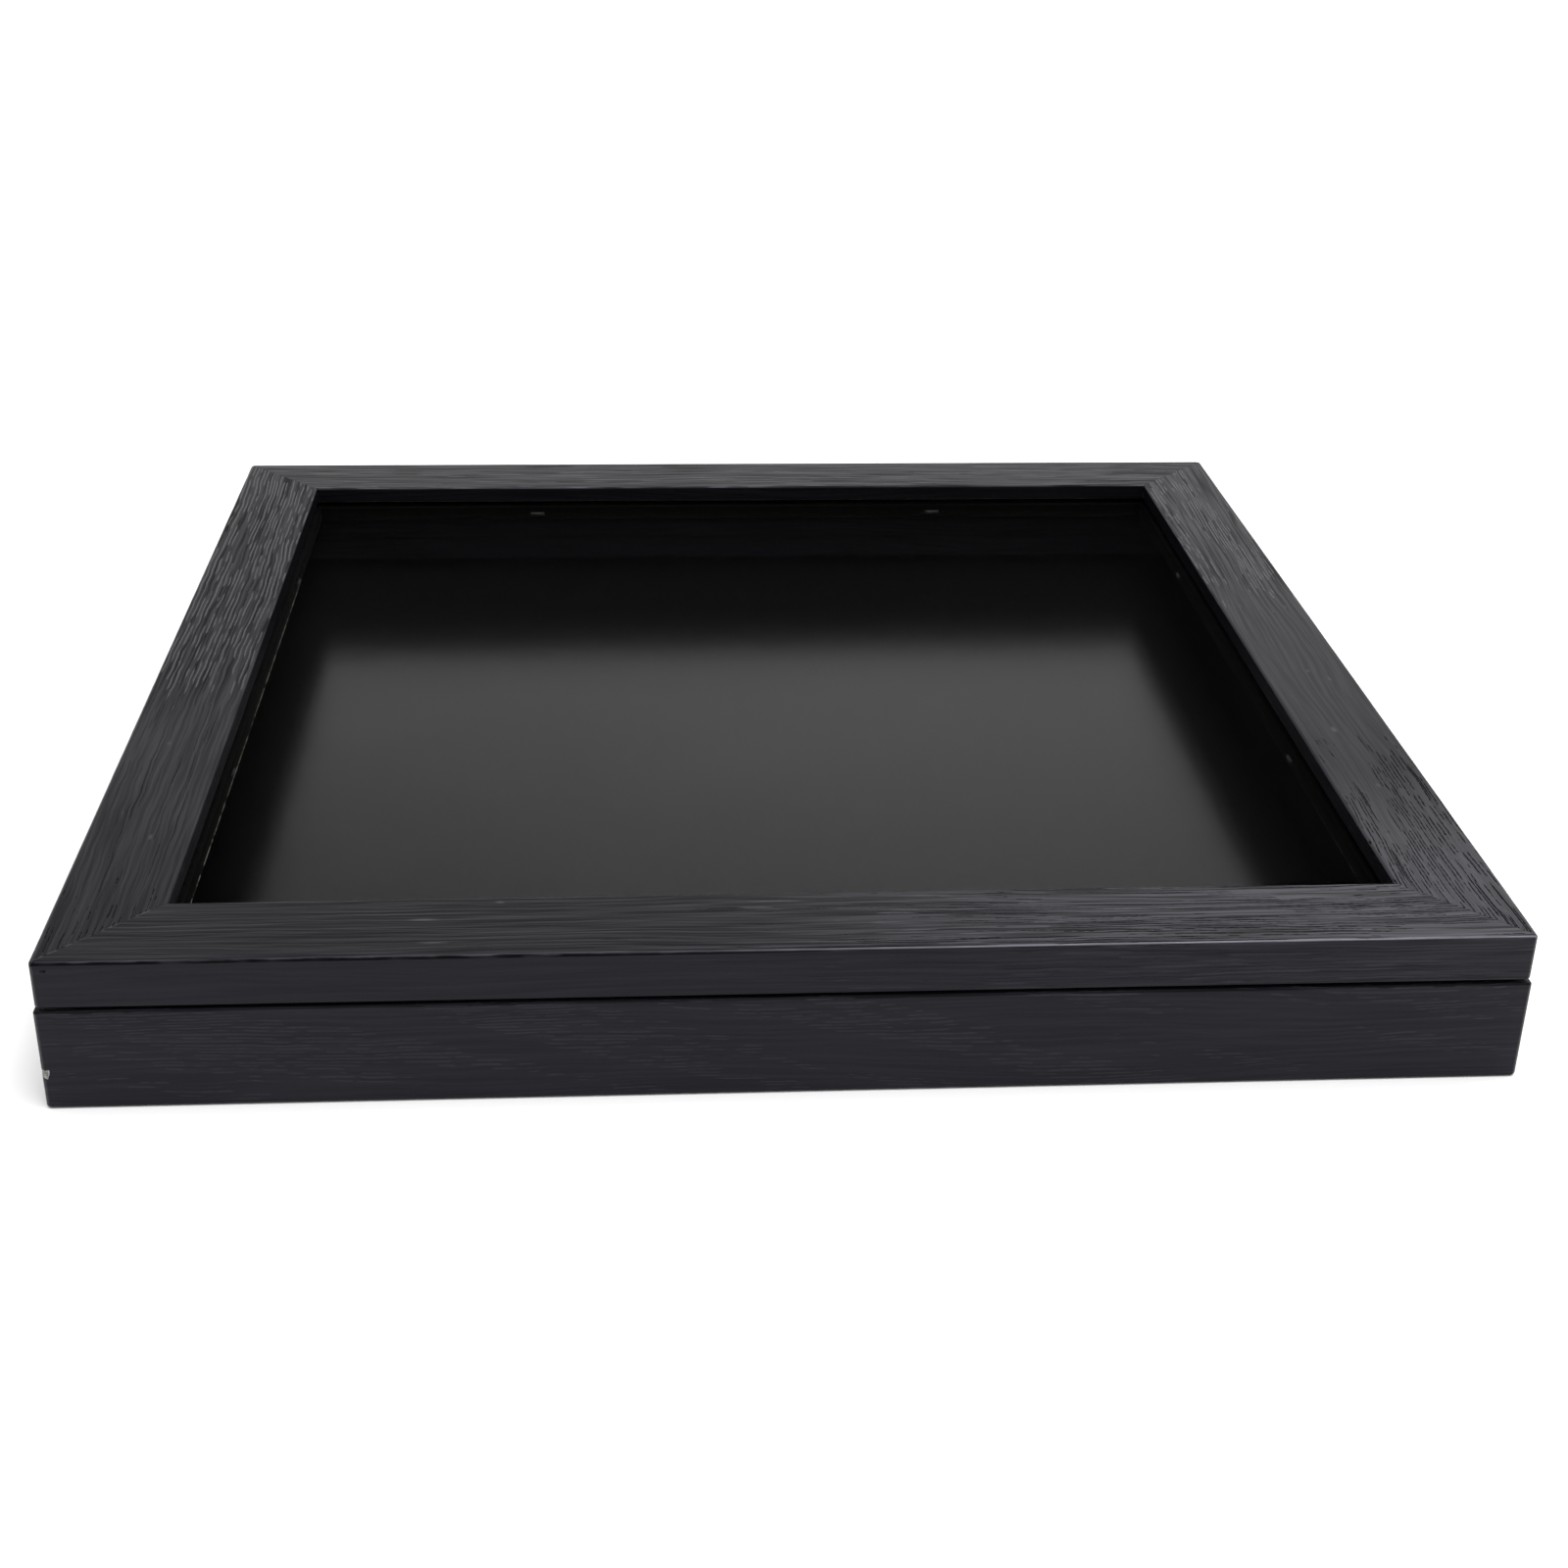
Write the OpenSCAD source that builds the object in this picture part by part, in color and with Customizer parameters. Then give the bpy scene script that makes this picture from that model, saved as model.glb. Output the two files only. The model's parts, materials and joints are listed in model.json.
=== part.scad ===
// Square shadow box frame: a shallow box with a glazed door hinged at its left side.
// The frame lies on its back: +Z points out of the front, +Y up the wall when it hangs.
// The origin is in the middle of the rear rim.

/* [Box] */
// Outside width and length of the box
box_side = 361; // [240:1:520]
// Height of the box walls, front to rear
box_h = 27; // [22:0.5:60]
// Thickness of the box walls
wall_t = 12; // [11:0.5:18]
// Radius on the long edges of the box walls
box_arris_r = 0.6; // [0.2:0.1:1.2]
// Gap between the box and the closed door
parting_gap = 0.8; // [0.6:0.1:1.2]

/* [Door] */
// How far the door lies inside the box outline all round
door_inset = 0.5; // [0:0.1:1]
// Width of the moulding seen from the front
face_w = 27.5; // [22:0.5:45]
// Thickness of the moulding
door_t = 12.5; // [11:0.5:20]
// Thickness of the lip in front of the glazing
lip_t = 5; // [3:0.5:6]
// Width of the rebate behind the lip
door_rebate_w = 5.5; // [4:0.5:8]
// Radius on the outer front edge of the moulding
outer_arris_r = 0.9; // [0.3:0.1:2]
// Radius on the edge of the sight opening
sight_arris_r = 0.7; // [0.3:0.1:1.5]
// Radius on the outer rear edge of the moulding
rear_arris_r = 0.4; // [0.2:0.1:1]

/* [Glazing] */
// Thickness of the clear sheet
glazing_t = 2; // [1.5:0.25:3]
// Room between the edge of the sheet and the rebate
glazing_clearance = 0.5; // [0.2:0.1:1]
// How far the bead shows past the sight edge
bead_proud = 1; // [0:0.25:2]
// How far the bead sits in from the rear face of the door
bead_recess = 0.2; // [0:0.1:0.5]
// Radius on the visible edge of the bead
bead_arris_r = 0.5; // [0.2:0.1:0.8]
// Distance from the corner of the door to the middle of a staple
staple_from_end = 107; // [70:1:112]
// How much nearer the rear the staples of the two side beads sit
side_staple_shift = 11.5; // [0:0.5:20]
// Length of a staple crown
staple_crown = 5; // [4:0.5:8]
// Length of a staple leg
staple_leg = 12; // [9:0.5:14]
// Width of the staple wire
staple_wire_w = 1.1; // [0.8:0.1:1.4]
// Thickness of the staple wire
staple_wire_t = 0.6; // [0.4:0.1:0.8]

/* [Back] */
// Width of the rebate at the rear of the box walls
back_rebate_w = 6; // [4:0.5:6.5]
// Depth from the rear rim to the back panel
back_recess = 3; // [2.5:0.25:5]
// Thickness of the back panel
back_panel_t = 2.5; // [2:0.25:4]
// Thickness of the display board
display_board_t = 1.5; // [1:0.25:3]
// Room between the edges of the boards and the rebate
board_clearance = 0.5; // [0.2:0.1:1]
// Distance from the corner of the box to the middle of a flexible point
point_from_end = 75; // [40:1:100]
// Width of a flexible point
point_w = 6; // [4:0.5:8]
// Thickness of a flexible point
point_t = 0.5; // [0.4:0.1:0.8]
// Depth of a flexible point in the wall
point_grip = 3; // [2:0.5:3]
// How far a flexible point reaches over the panel
point_reach = 9; // [6:0.5:12]

/* [Hinges] */
// Distance from the corner of the box to the middle of a hinge
hinge_from_end = 60; // [40:1:100]
// Length of a hinge
hinge_l = 25; // [20:1:32]
// Number of knuckles on a hinge
knuckle_count = 5; // [3:2:5]
// Gap between neighbouring knuckles
knuckle_gap = 0.2; // [0.1:0.05:0.4]
// Outside radius of the knuckles
barrel_r = 1.8; // [1.6:0.1:2.2]
// Radius of the hinge pin
pin_r = 0.9; // [0.7:0.05:1.1]
// Radius of the head at each end of the pin
pin_head_r = 1.4; // [1.2:0.1:1.5]
// Thickness of the head at each end of the pin
pin_head_t = 0.6; // [0.4:0.1:1]
// Room round the pin in the knuckles of the box leaf
pin_fit = 0.02; // [0.01:0.01:0.05]
// Room round the pin in the knuckles of the door leaf
pin_running_clearance = 0.05; // [0.03:0.01:0.1]
// Thickness of a hinge leaf
leaf_t = 0.9; // [0.7:0.1:1.1]
// Reach of a hinge leaf in from the face of the box
leaf_reach = 9; // [8:0.5:10]
// Gap between the closed leaves
leaf_gap = 0.2; // [0.1:0.05:0.3]
// Room between the barrel and the face of the box
barrel_clearance = 0.3; // [0.2:0.1:0.6]
// Room between a leaf and its recess
leaf_clearance = 0.1; // [0.05:0.05:0.3]

/* [Catch] */
// Distance from the corner of the box to the middle of a magnet
catch_from_end = 60; // [30:1:100]
// Radius of a magnet
magnet_r = 3; // [2:0.25:4]
// Thickness of a magnet
magnet_t = 2.5; // [1.5:0.25:5]
// How far a magnet stands out of the wall
magnet_proud = 0.3; // [0.1:0.05:0.4]
// Gap between a magnet and its strike disc
catch_gap = 0.1; // [0.05:0.05:0.15]
// Radius of a strike disc
strike_r = 4; // [3.5:0.25:4.5]
// Thickness of a strike disc
strike_t = 1; // [0.8:0.1:1.5]
// Room round a magnet or a strike disc in its pocket
catch_clearance = 0.1; // [0.05:0.05:0.2]

/* [Hangers] */
// Distance from the corner of the box to the middle of a hanger
hanger_from_end = 95; // [80:1:96]
// Distance from the top face of the box to the middle of a hanger
hanger_from_top = 30; // [25:1:60]
// Length of a hanger
hanger_l = 45; // [36:1:48]
// Width of a hanger
hanger_w = 9; // [8:0.5:12]
// Thickness of the hanger strip
hanger_t = 0.8; // [0.6:0.1:1]
// Length of each foot of a hanger
hanger_foot = 8; // [7:0.5:10]
// Depth from the rear rim to the raised middle of a hanger
hanger_rim_gap = 0.2; // [0:0.1:0.5]
// Number of teeth along a hanger
tooth_count = 7; // [5:2:9]
// Depth of a hanger tooth
tooth_depth = 1.6; // [1:0.1:2]
// Radius of a rivet shank
rivet_r = 1.2; // [1:0.1:1.6]
// Radius of a rivet head
rivet_head_r = 2.2; // [2:0.1:3]
// Thickness of a rivet head
rivet_head_t = 0.6; // [0.4:0.1:0.8]
// Room round a rivet in its holes
rivet_clearance = 0.05; // [0.05:0.05:0.2]

/* [Screws and nails] */
// Radius of a countersunk screw head
screw_head_r = 1.6; // [1.4:0.1:1.9]
// Radius of a screw shank
screw_shank_r = 0.8; // [0.6:0.1:1]
// Length of a screw
screw_l = 8; // [6:0.5:9]
// Length of a screw tip
screw_tip = 2; // [1:0.5:3]
// Room round a screw in its hole
screw_clearance = 0.05; // [0.05:0.05:0.1]
// Length of each leg of a V-nail
v_nail_leg = 5; // [4:0.5:7]
// Thickness of a V-nail
v_nail_t = 0.5; // [0.4:0.1:0.8]
// Height of a V-nail
v_nail_h = 7; // [5:0.5:9]
// Number of V-nails at each corner of the door
door_v_nail_count = 2; // [1:1:3]

/* [Hidden] */
$fn = 48;
// Overshoot of a cut past the face that it opens
cut = 1;

// Heights of the main faces
board_top = back_recess + back_panel_t + display_board_t;
door_z = box_h + parting_gap;
door_top = door_z + door_t;
glazing_z = door_top - lip_t - glazing_t;
bead_z = door_z + bead_recess;
hinge_z = box_h + parting_gap / 2;
strike_z = box_h + magnet_proud + catch_gap;

// Plan sizes
door_side = box_side - 2 * door_inset;
door_solid_w = face_w - door_rebate_w;
rim_w = wall_t - back_rebate_w;
board_side = box_side - 2 * rim_w - 2 * board_clearance;
glazing_side = door_side - 2 * door_solid_w - 2 * glazing_clearance;
bead_inner = face_w + bead_proud;

// Places along the sides, from the middle
hinge_y = box_side / 2 - hinge_from_end;
catch_y = box_side / 2 - catch_from_end;
staple_x = door_side / 2 - staple_from_end;
point_x = box_side / 2 - point_from_end;
hanger_x = box_side / 2 - hanger_from_end;
hanger_y = box_side / 2 - hanger_from_top;
catch_x = box_side / 2 - wall_t / 2;

// Hinge layout, from the hinge axis
hinge_offset = barrel_r + barrel_clearance;
hinge_x = -box_side / 2 - hinge_offset;
leaf_end = hinge_offset + leaf_reach;
knuckle_l = (hinge_l - (knuckle_count - 1) * knuckle_gap) / knuckle_count;
knuckle_pitch = knuckle_l + knuckle_gap;
hinge_screw_x = hinge_offset + leaf_reach / 2;
hinge_screw_y = hinge_l / 4;
knuckle_web = (barrel_r + pin_r + pin_running_clearance) / 2;
leaf_relief = barrel_r + barrel_clearance / 2;

// Turn of each side about Z, from the front side
front = 0;
right = 90;
rear = 180;
left = 270;
sides = [front, right, rear, left];
ends = [-1, 1];

// Colours
foil_black = [0.16, 0.16, 0.17];
bead_black = [0.09, 0.09, 0.09];
board_black = [0.13, 0.13, 0.13];
panel_brown = [0.45, 0.33, 0.22];
sheet_clear = [0.85, 0.9, 0.92, 0.25];
steel_bright = [0.72, 0.72, 0.73];
nickel = [0.66, 0.65, 0.62];
magnet_grey = [0.58, 0.58, 0.6];

// Waste outside a quarter round at a corner of a profile, with the material towards [sx, sy]
module round_off(corner, sx, sy, r) {
    translate(corner) difference() {
        translate([sx > 0 ? -cut : -r, sy > 0 ? -cut : -r]) square(r + cut);
        translate([sx * r, sy * r]) circle(r);
    }
}

// Bar along the front side with both ends mitred, from a profile drawn as depth inwards and height
module mitred_bar(side, h) {
    half = side / 2;
    intersection() {
        translate([-half, -half, 0]) rotate([90, 0, 90]) linear_extrude(side) children();
        translate([0, 0, -cut]) linear_extrude(h + 2 * cut)
            polygon([[-half - cut, -half - cut], [half + cut, -half - cut], [0, 0]]);
    }
}

module box_profile() {
    difference() {
        square([wall_t, box_h]);
        translate([rim_w, -cut]) square([back_rebate_w + cut, board_top + cut]);
        round_off([0, 0], 1, 1, box_arris_r);
        round_off([0, box_h], 1, -1, box_arris_r);
        round_off([wall_t, box_h], -1, -1, box_arris_r);
    }
}

module door_profile() {
    difference() {
        square([face_w, door_t]);
        translate([door_solid_w, -cut]) square([door_rebate_w + cut, door_t - lip_t + cut]);
        round_off([0, 0], 1, 1, rear_arris_r);
        round_off([0, door_t], 1, -1, outer_arris_r);
        round_off([face_w, door_t], -1, -1, sight_arris_r);
    }
}

module bead_profile() {
    bead_h = glazing_z - bead_z;
    translate([door_solid_w, bead_recess]) difference() {
        square([bead_inner - door_solid_w, bead_h]);
        round_off([bead_inner - door_solid_w, 0], -1, 1, bead_arris_r);
    }
}

// Countersunk screw with its head at the origin, driven along -Z
module screw(extra = 0, above = 0) {
    head_r = screw_head_r + extra;
    shank_r = screw_shank_r + extra;
    length = screw_l + extra;
    rotate_extrude()
        polygon([
            [0, above], [head_r, above], [head_r, 0], [shank_r, shank_r - head_r],
            [shank_r, screw_tip - length], [0, -length]
        ]);
}

module screw_hole() {
    screw(extra = screw_clearance, above = cut);
}

// V-nail whose legs run along the two bars that meet at the front left corner
module v_nail() {
    linear_extrude(v_nail_h)
        polygon([
            [0, 0], [v_nail_leg, 0], [v_nail_leg, v_nail_t],
            [v_nail_t, v_nail_t], [v_nail_t, v_nail_leg], [0, v_nail_leg]
        ]);
}

module box_v_nail_set() {
    corner = -box_side / 2 + (rim_w - v_nail_t) / 2;
    for (turn = sides)
        rotate([0, 0, turn]) translate([corner, corner, 0]) v_nail();
}

module door_v_nail_set() {
    for (turn = sides, k = [1 : door_v_nail_count]) {
        corner = -door_side / 2 + door_solid_w * k / (door_v_nail_count + 1);
        rotate([0, 0, turn]) translate([corner, corner, door_z]) v_nail();
    }
}

// Two flexible points on the front side, lying on the rear of the back panel
module point_pair() {
    wall_face = -box_side / 2 + rim_w;
    for (s = ends)
        translate([s * point_x, wall_face, back_recess - point_t]) linear_extrude(point_t)
            polygon([
                [-point_w / 2, 0], [0, -point_grip], [point_w / 2, 0],
                [point_w / 2, point_reach], [-point_w / 2, point_reach]
            ]);
}

// Two staples on one side, with their crowns on the inner face of the bead
module staple_pair(turn) {
    crown_y = -door_side / 2 + bead_inner;
    mid_z = (bead_z + glazing_z) / 2;
    shift = side_staple_shift * sin(turn);
    rotate([0, 0, turn]) for (s = ends)
        translate([s * staple_x + shift - staple_crown / 2, crown_y, mid_z - staple_wire_w / 2]) {
            cube([staple_crown, staple_wire_t, staple_wire_w]);
            for (leg_x = [0, staple_crown - staple_wire_t])
                translate([leg_x, -staple_leg, 0])
                    cube([staple_wire_t, staple_leg + staple_wire_t, staple_wire_w]);
        }
}

// Places of the hinges, with the hinge axis along Y
module at_hinge(end) {
    translate([hinge_x, end * hinge_y, hinge_z]) children();
}

// Places of the screws in one leaf of a hinge, at the face of the leaf
module at_leaf_screws() {
    for (s = ends)
        translate([hinge_screw_x, s * hinge_screw_y, -leaf_gap / 2]) children();
}

// Leaf below the plane of the closed hinge, with every other knuckle from the first one given
module leaf(first, bore_r) {
    plate_z = -leaf_gap / 2 - leaf_t;
    difference() {
        union() {
            translate([leaf_relief, -hinge_l / 2, plate_z])
                cube([leaf_end - leaf_relief, hinge_l, leaf_t]);
            for (k = [first : 2 : knuckle_count - 1])
                translate([0, -hinge_l / 2 + k * knuckle_pitch, 0]) {
                    rotate([-90, 0, 0]) cylinder(r = barrel_r, h = knuckle_l);
                    translate([knuckle_web, 0, plate_z])
                        cube([leaf_end - knuckle_web, knuckle_l, leaf_t]);
                }
        }
        rotate([90, 0, 0]) cylinder(r = bore_r, h = hinge_l + 2 * cut, center = true);
        at_leaf_screws() screw_hole();
    }
}

// Recess for a leaf in the face below the closed hinge, with the pilot holes of its screws
module leaf_recess() {
    translate([0, -hinge_l / 2 - leaf_clearance, -leaf_gap / 2 - leaf_t])
        cube([leaf_end + leaf_clearance, hinge_l + 2 * leaf_clearance, leaf_t + cut]);
    at_leaf_screws() screw_hole();
}

// Turns a lower leaf or its recess over to make the upper one
module upper() {
    mirror([0, 0, 1]) children();
}

// Places of the magnets and the strike discs
module at_catch(end, z) {
    translate([catch_x, end * catch_y, z]) children();
}

module box_wall(turn) {
    color(foil_black) difference() {
        rotate([0, 0, turn]) mitred_bar(box_side, box_h) box_profile();
        box_v_nail_set();
        rotate([0, 0, turn]) point_pair();
        if (turn == left)
            for (end = ends) at_hinge(end) leaf_recess();
        if (turn == right)
            for (end = ends)
                at_catch(end, box_h + magnet_proud - magnet_t)
                    cylinder(r = magnet_r + catch_clearance, h = magnet_t + cut);
    }
}

module door_bar(turn) {
    color(foil_black) difference() {
        rotate([0, 0, turn]) translate([0, 0, door_z]) mitred_bar(door_side, door_t) door_profile();
        door_v_nail_set();
        staple_pair(turn);
        if (turn == left)
            for (end = ends) at_hinge(end) upper() leaf_recess();
        if (turn == right)
            for (end = ends) {
                at_catch(end, strike_z - cut) cylinder(r = strike_r + catch_clearance, h = strike_t + cut);
                at_catch(end, strike_z) upper() screw_hole();
            }
    }
}

module glazing_bead(turn) {
    color(bead_black) difference() {
        rotate([0, 0, turn]) translate([0, 0, door_z]) mitred_bar(door_side, door_t) bead_profile();
        staple_pair(turn);
    }
}

module box_v_nails() {
    color(steel_bright) box_v_nail_set();
}

module door_v_nails() {
    color(steel_bright) door_v_nail_set();
}

module display_board() {
    color(board_black)
        translate([-board_side / 2, -board_side / 2, back_recess + back_panel_t])
            cube([board_side, board_side, display_board_t]);
}

module back_panel() {
    color(panel_brown) difference() {
        translate([-board_side / 2, -board_side / 2, back_recess])
            cube([board_side, board_side, back_panel_t]);
        at_rivets() rivet(extra = rivet_clearance);
    }
}

module back_points() {
    color(steel_bright)
        for (turn = sides) rotate([0, 0, turn]) point_pair();
}

// Places of the rivets, on the rear of the back panel
module at_rivets() {
    for (side = ends, end = ends)
        translate([side * hanger_x + end * (hanger_l - hanger_foot) / 2, hanger_y, back_recess]) children();
}

// Rivet through a hanger foot and the back panel, with its closed end let into the panel
module rivet(extra = 0) {
    shank_top = back_panel_t + (extra > 0 ? cut : 0);
    translate([0, 0, -hanger_t - rivet_head_t]) cylinder(r = rivet_head_r + extra, h = rivet_head_t);
    translate([0, 0, -hanger_t]) cylinder(r = rivet_r + extra, h = hanger_t + shank_top);
    translate([0, 0, back_panel_t - rivet_head_t])
        cylinder(r = rivet_head_r + extra, h = rivet_head_t + shank_top - back_panel_t);
}

// Strip bent up on two feet, with teeth along the lower edge of its raised middle
module hanger(side) {
    half = hanger_l / 2;
    foot_end = half - hanger_foot;
    foot_z = back_recess - hanger_t;
    bridge = foot_end - (foot_z - hanger_rim_gap);
    tooth_pitch = 2 * (bridge - hanger_t) / tooth_count;
    color(steel_bright) difference() {
        translate([side * hanger_x, hanger_y + hanger_w / 2, 0]) rotate([90, 0, 0]) linear_extrude(hanger_w)
            polygon([
                [-half, foot_z], [-foot_end, foot_z], [-bridge, hanger_rim_gap], [bridge, hanger_rim_gap],
                [foot_end, foot_z], [half, foot_z], [half, foot_z + hanger_t],
                [foot_end - hanger_t / 2, foot_z + hanger_t], [bridge - hanger_t / 2, hanger_rim_gap + hanger_t],
                [-bridge + hanger_t / 2, hanger_rim_gap + hanger_t], [-foot_end + hanger_t / 2, foot_z + hanger_t],
                [-half, foot_z + hanger_t]
            ]);
        for (k = [0 : tooth_count - 1])
            translate([side * hanger_x + (k - (tooth_count - 1) / 2) * tooth_pitch, hanger_y - hanger_w / 2, -cut])
                linear_extrude(hanger_rim_gap + hanger_t + 2 * cut)
                    polygon([[-tooth_pitch / 2, -cut], [tooth_pitch / 2, -cut], [tooth_pitch / 2, 0],
                        [0, tooth_depth], [-tooth_pitch / 2, 0]]);
        at_rivets() rivet(extra = rivet_clearance);
    }
}

module hanger_rivets() {
    color(steel_bright) at_rivets() rivet();
}

module hinge_box_leaf(end) {
    color(nickel) at_hinge(end) leaf(0, pin_r + pin_fit);
}

module hinge_door_leaf(end) {
    color(nickel) at_hinge(end) upper() leaf(1, pin_r + pin_running_clearance);
}

module hinge_pin(end) {
    color(nickel) at_hinge(end) rotate([90, 0, 0]) {
        cylinder(r = pin_r, h = hinge_l, center = true);
        for (s = ends)
            translate([0, 0, s * (hinge_l + pin_head_t) / 2]) cylinder(r = pin_head_r, h = pin_head_t, center = true);
    }
}

module hinge_box_screws() {
    color(nickel)
        for (end = ends) at_hinge(end) at_leaf_screws() screw();
}

module hinge_door_screws() {
    color(nickel)
        for (end = ends) at_hinge(end) upper() at_leaf_screws() screw();
}

module catch_magnet(end) {
    color(magnet_grey)
        at_catch(end, box_h + magnet_proud - magnet_t) cylinder(r = magnet_r, h = magnet_t);
}

module catch_strike(end) {
    color(steel_bright) difference() {
        at_catch(end, strike_z) cylinder(r = strike_r, h = strike_t);
        at_catch(end, strike_z) upper() screw_hole();
    }
}

module catch_screws() {
    color(steel_bright)
        for (end = ends) at_catch(end, strike_z) upper() screw();
}

module glazing_sheet() {
    color(sheet_clear)
        translate([-glazing_side / 2, -glazing_side / 2, glazing_z])
            cube([glazing_side, glazing_side, glazing_t]);
}

module bead_staples() {
    color(steel_bright)
        for (turn = sides) staple_pair(turn);
}

box_wall(front);  // box_wall_front
box_wall(right);  // box_wall_right
box_wall(rear);  // box_wall_rear
box_wall(left);  // box_wall_left
box_v_nails();
display_board();
back_panel();
back_points();
hanger(-1);  // hanger_left
hanger(1);  // hanger_right
hanger_rivets();
hinge_box_leaf(-1);  // hinge_box_leaf_front
hinge_box_leaf(1);  // hinge_box_leaf_rear
hinge_pin(-1);  // hinge_pin_front
hinge_pin(1);  // hinge_pin_rear
hinge_box_screws();
catch_magnet(-1);  // catch_magnet_front
catch_magnet(1);  // catch_magnet_rear
door_bar(front);  // door_rail_front
door_bar(right);  // door_stile_right
door_bar(rear);  // door_rail_rear
door_bar(left);  // door_stile_left
door_v_nails();
glazing_sheet();
glazing_bead(front);  // glazing_bead_front
glazing_bead(right);  // glazing_bead_right
glazing_bead(rear);  // glazing_bead_rear
glazing_bead(left);  // glazing_bead_left
bead_staples();
hinge_door_leaf(-1);  // hinge_door_leaf_front
hinge_door_leaf(1);  // hinge_door_leaf_rear
hinge_door_screws();
catch_strike(-1);  // catch_strike_front
catch_strike(1);  // catch_strike_rear
catch_screws();
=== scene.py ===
import bmesh
import bpy
import json
import math
from functools import partial
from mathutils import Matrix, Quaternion, Vector, noise


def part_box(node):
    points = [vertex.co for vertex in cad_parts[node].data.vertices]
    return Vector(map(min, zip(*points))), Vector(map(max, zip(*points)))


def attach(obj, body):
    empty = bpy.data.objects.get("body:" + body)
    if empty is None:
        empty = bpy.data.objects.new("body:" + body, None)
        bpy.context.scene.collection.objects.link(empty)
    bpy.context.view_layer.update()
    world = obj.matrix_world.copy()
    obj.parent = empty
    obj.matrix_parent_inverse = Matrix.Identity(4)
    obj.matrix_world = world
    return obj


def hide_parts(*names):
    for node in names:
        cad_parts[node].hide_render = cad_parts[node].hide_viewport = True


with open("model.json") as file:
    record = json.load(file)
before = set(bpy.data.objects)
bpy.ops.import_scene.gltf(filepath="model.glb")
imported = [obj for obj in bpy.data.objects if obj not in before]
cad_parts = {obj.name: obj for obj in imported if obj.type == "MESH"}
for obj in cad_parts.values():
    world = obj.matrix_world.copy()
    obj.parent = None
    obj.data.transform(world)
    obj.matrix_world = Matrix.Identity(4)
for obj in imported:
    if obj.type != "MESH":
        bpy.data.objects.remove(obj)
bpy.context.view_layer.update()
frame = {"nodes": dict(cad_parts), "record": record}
nodes = frame["nodes"]
record = frame["record"]
bodyOf = {name: body for body, names in record["behaviour"]["bodies"].items() for name in names}
scene = bpy.context.scene
mm = 0.001
up = Vector((0, 0, 1))
weldGap = 1e-6  # metres, nearer points are one
noiseSpan = (0.3, 0.7)  # levels that most of a noise lies between
narrowSpan = (0.35, 0.65)


# lowest and highest corner of a CAD node, in mm
def boxInMm(node):
    return [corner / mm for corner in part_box(node)]


# sRGB hex to the linear colour that Blender's sockets take
def hexToLinear(code):
    parts = [int(code[i:i + 2], 16) / 255 for i in (1, 3, 5)]
    return [c / 12.92 if c <= 0.04045 else ((c + 0.055) / 1.055) ** 2.4 for c in parts] + [1.0]


modeNames = {
    "Math": "operation", "VectorMath": "operation", "MapRange": "interpolation_type", "Mix": "data_type"}


# adds one node: feeds are numbers, hex colours or other nodes for its inputs, by name or in their order,
# mode is what it does and the rest are other settings
def addNode(tree, kind, feeds=(), mode=None, **settings):
    node = tree.nodes.new("ShaderNode" + kind)
    if mode:
        settings[modeNames[kind]] = mode
    for name, value in settings.items():
        setattr(node, name, value)
    if isinstance(feeds, dict):
        pairs = [(node.inputs[name], value) for name, value in feeds.items()]
    else:
        pairs = zip([socket for socket in node.inputs if socket.enabled], feeds)
    for socket, value in pairs:
        if isinstance(value, bpy.types.Node):
            value = next(out for out in value.outputs if out.enabled)
        if isinstance(value, bpy.types.NodeSocket):
            tree.links.new(value, socket)
        else:
            socket.default_value = hexToLinear(value) if isinstance(value, str) else value
    return node


# a new material, and addNode for its nodes
def newMaterial(name):
    material = bpy.data.materials.new(name)
    material.use_nodes = True
    material.node_tree.nodes.clear()
    return material, partial(addNode, material.node_tree)


# place on the part in mm
def placeInMm(add):
    return add("VectorMath", (add("TexCoord").outputs["Object"], 1 / mm), "SCALE")


# noise drawn out along a grain
def grainNoise(add, place, scale, detail):
    drawn = add("VectorMath", (place, scale), "MULTIPLY")
    return add("TexNoise", {"Vector": drawn, "Scale": 1.0, "Detail": detail})


# a new object in the scene
def newObject(name, data):
    made = bpy.data.objects.new(name, data)
    scene.collection.objects.link(made)
    return made


def dress(name, material):
    mesh = nodes[name].data
    mesh.materials.clear()
    mesh.materials.append(material)


# Camera, floor and light
cameraView = {
    "place": (-38.9, -640.9, 315.1),  # mm
    "aim": (4.9, -51.9, 20.0),
    "roll": 1.15,  # degrees, right side up
    "lens": 51.9,
    "sensor": 36.0,
    "nearest": 0.01,  # metres
}
camera = newObject("camera", bpy.data.cameras.new("camera"))
scene.camera = camera
camera.data.lens = cameraView["lens"]
camera.data.sensor_width = cameraView["sensor"]
camera.data.clip_start = cameraView["nearest"]
camera.location = Vector(cameraView["place"]) * mm
lookAlong = Vector(cameraView["aim"]) - Vector(cameraView["place"])
rollTurn = Quaternion(up, math.radians(cameraView["roll"]))
camera.rotation_mode = "QUATERNION"
camera.rotation_quaternion = lookAlong.to_track_quat("-Z", "Y") @ rollTurn

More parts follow.
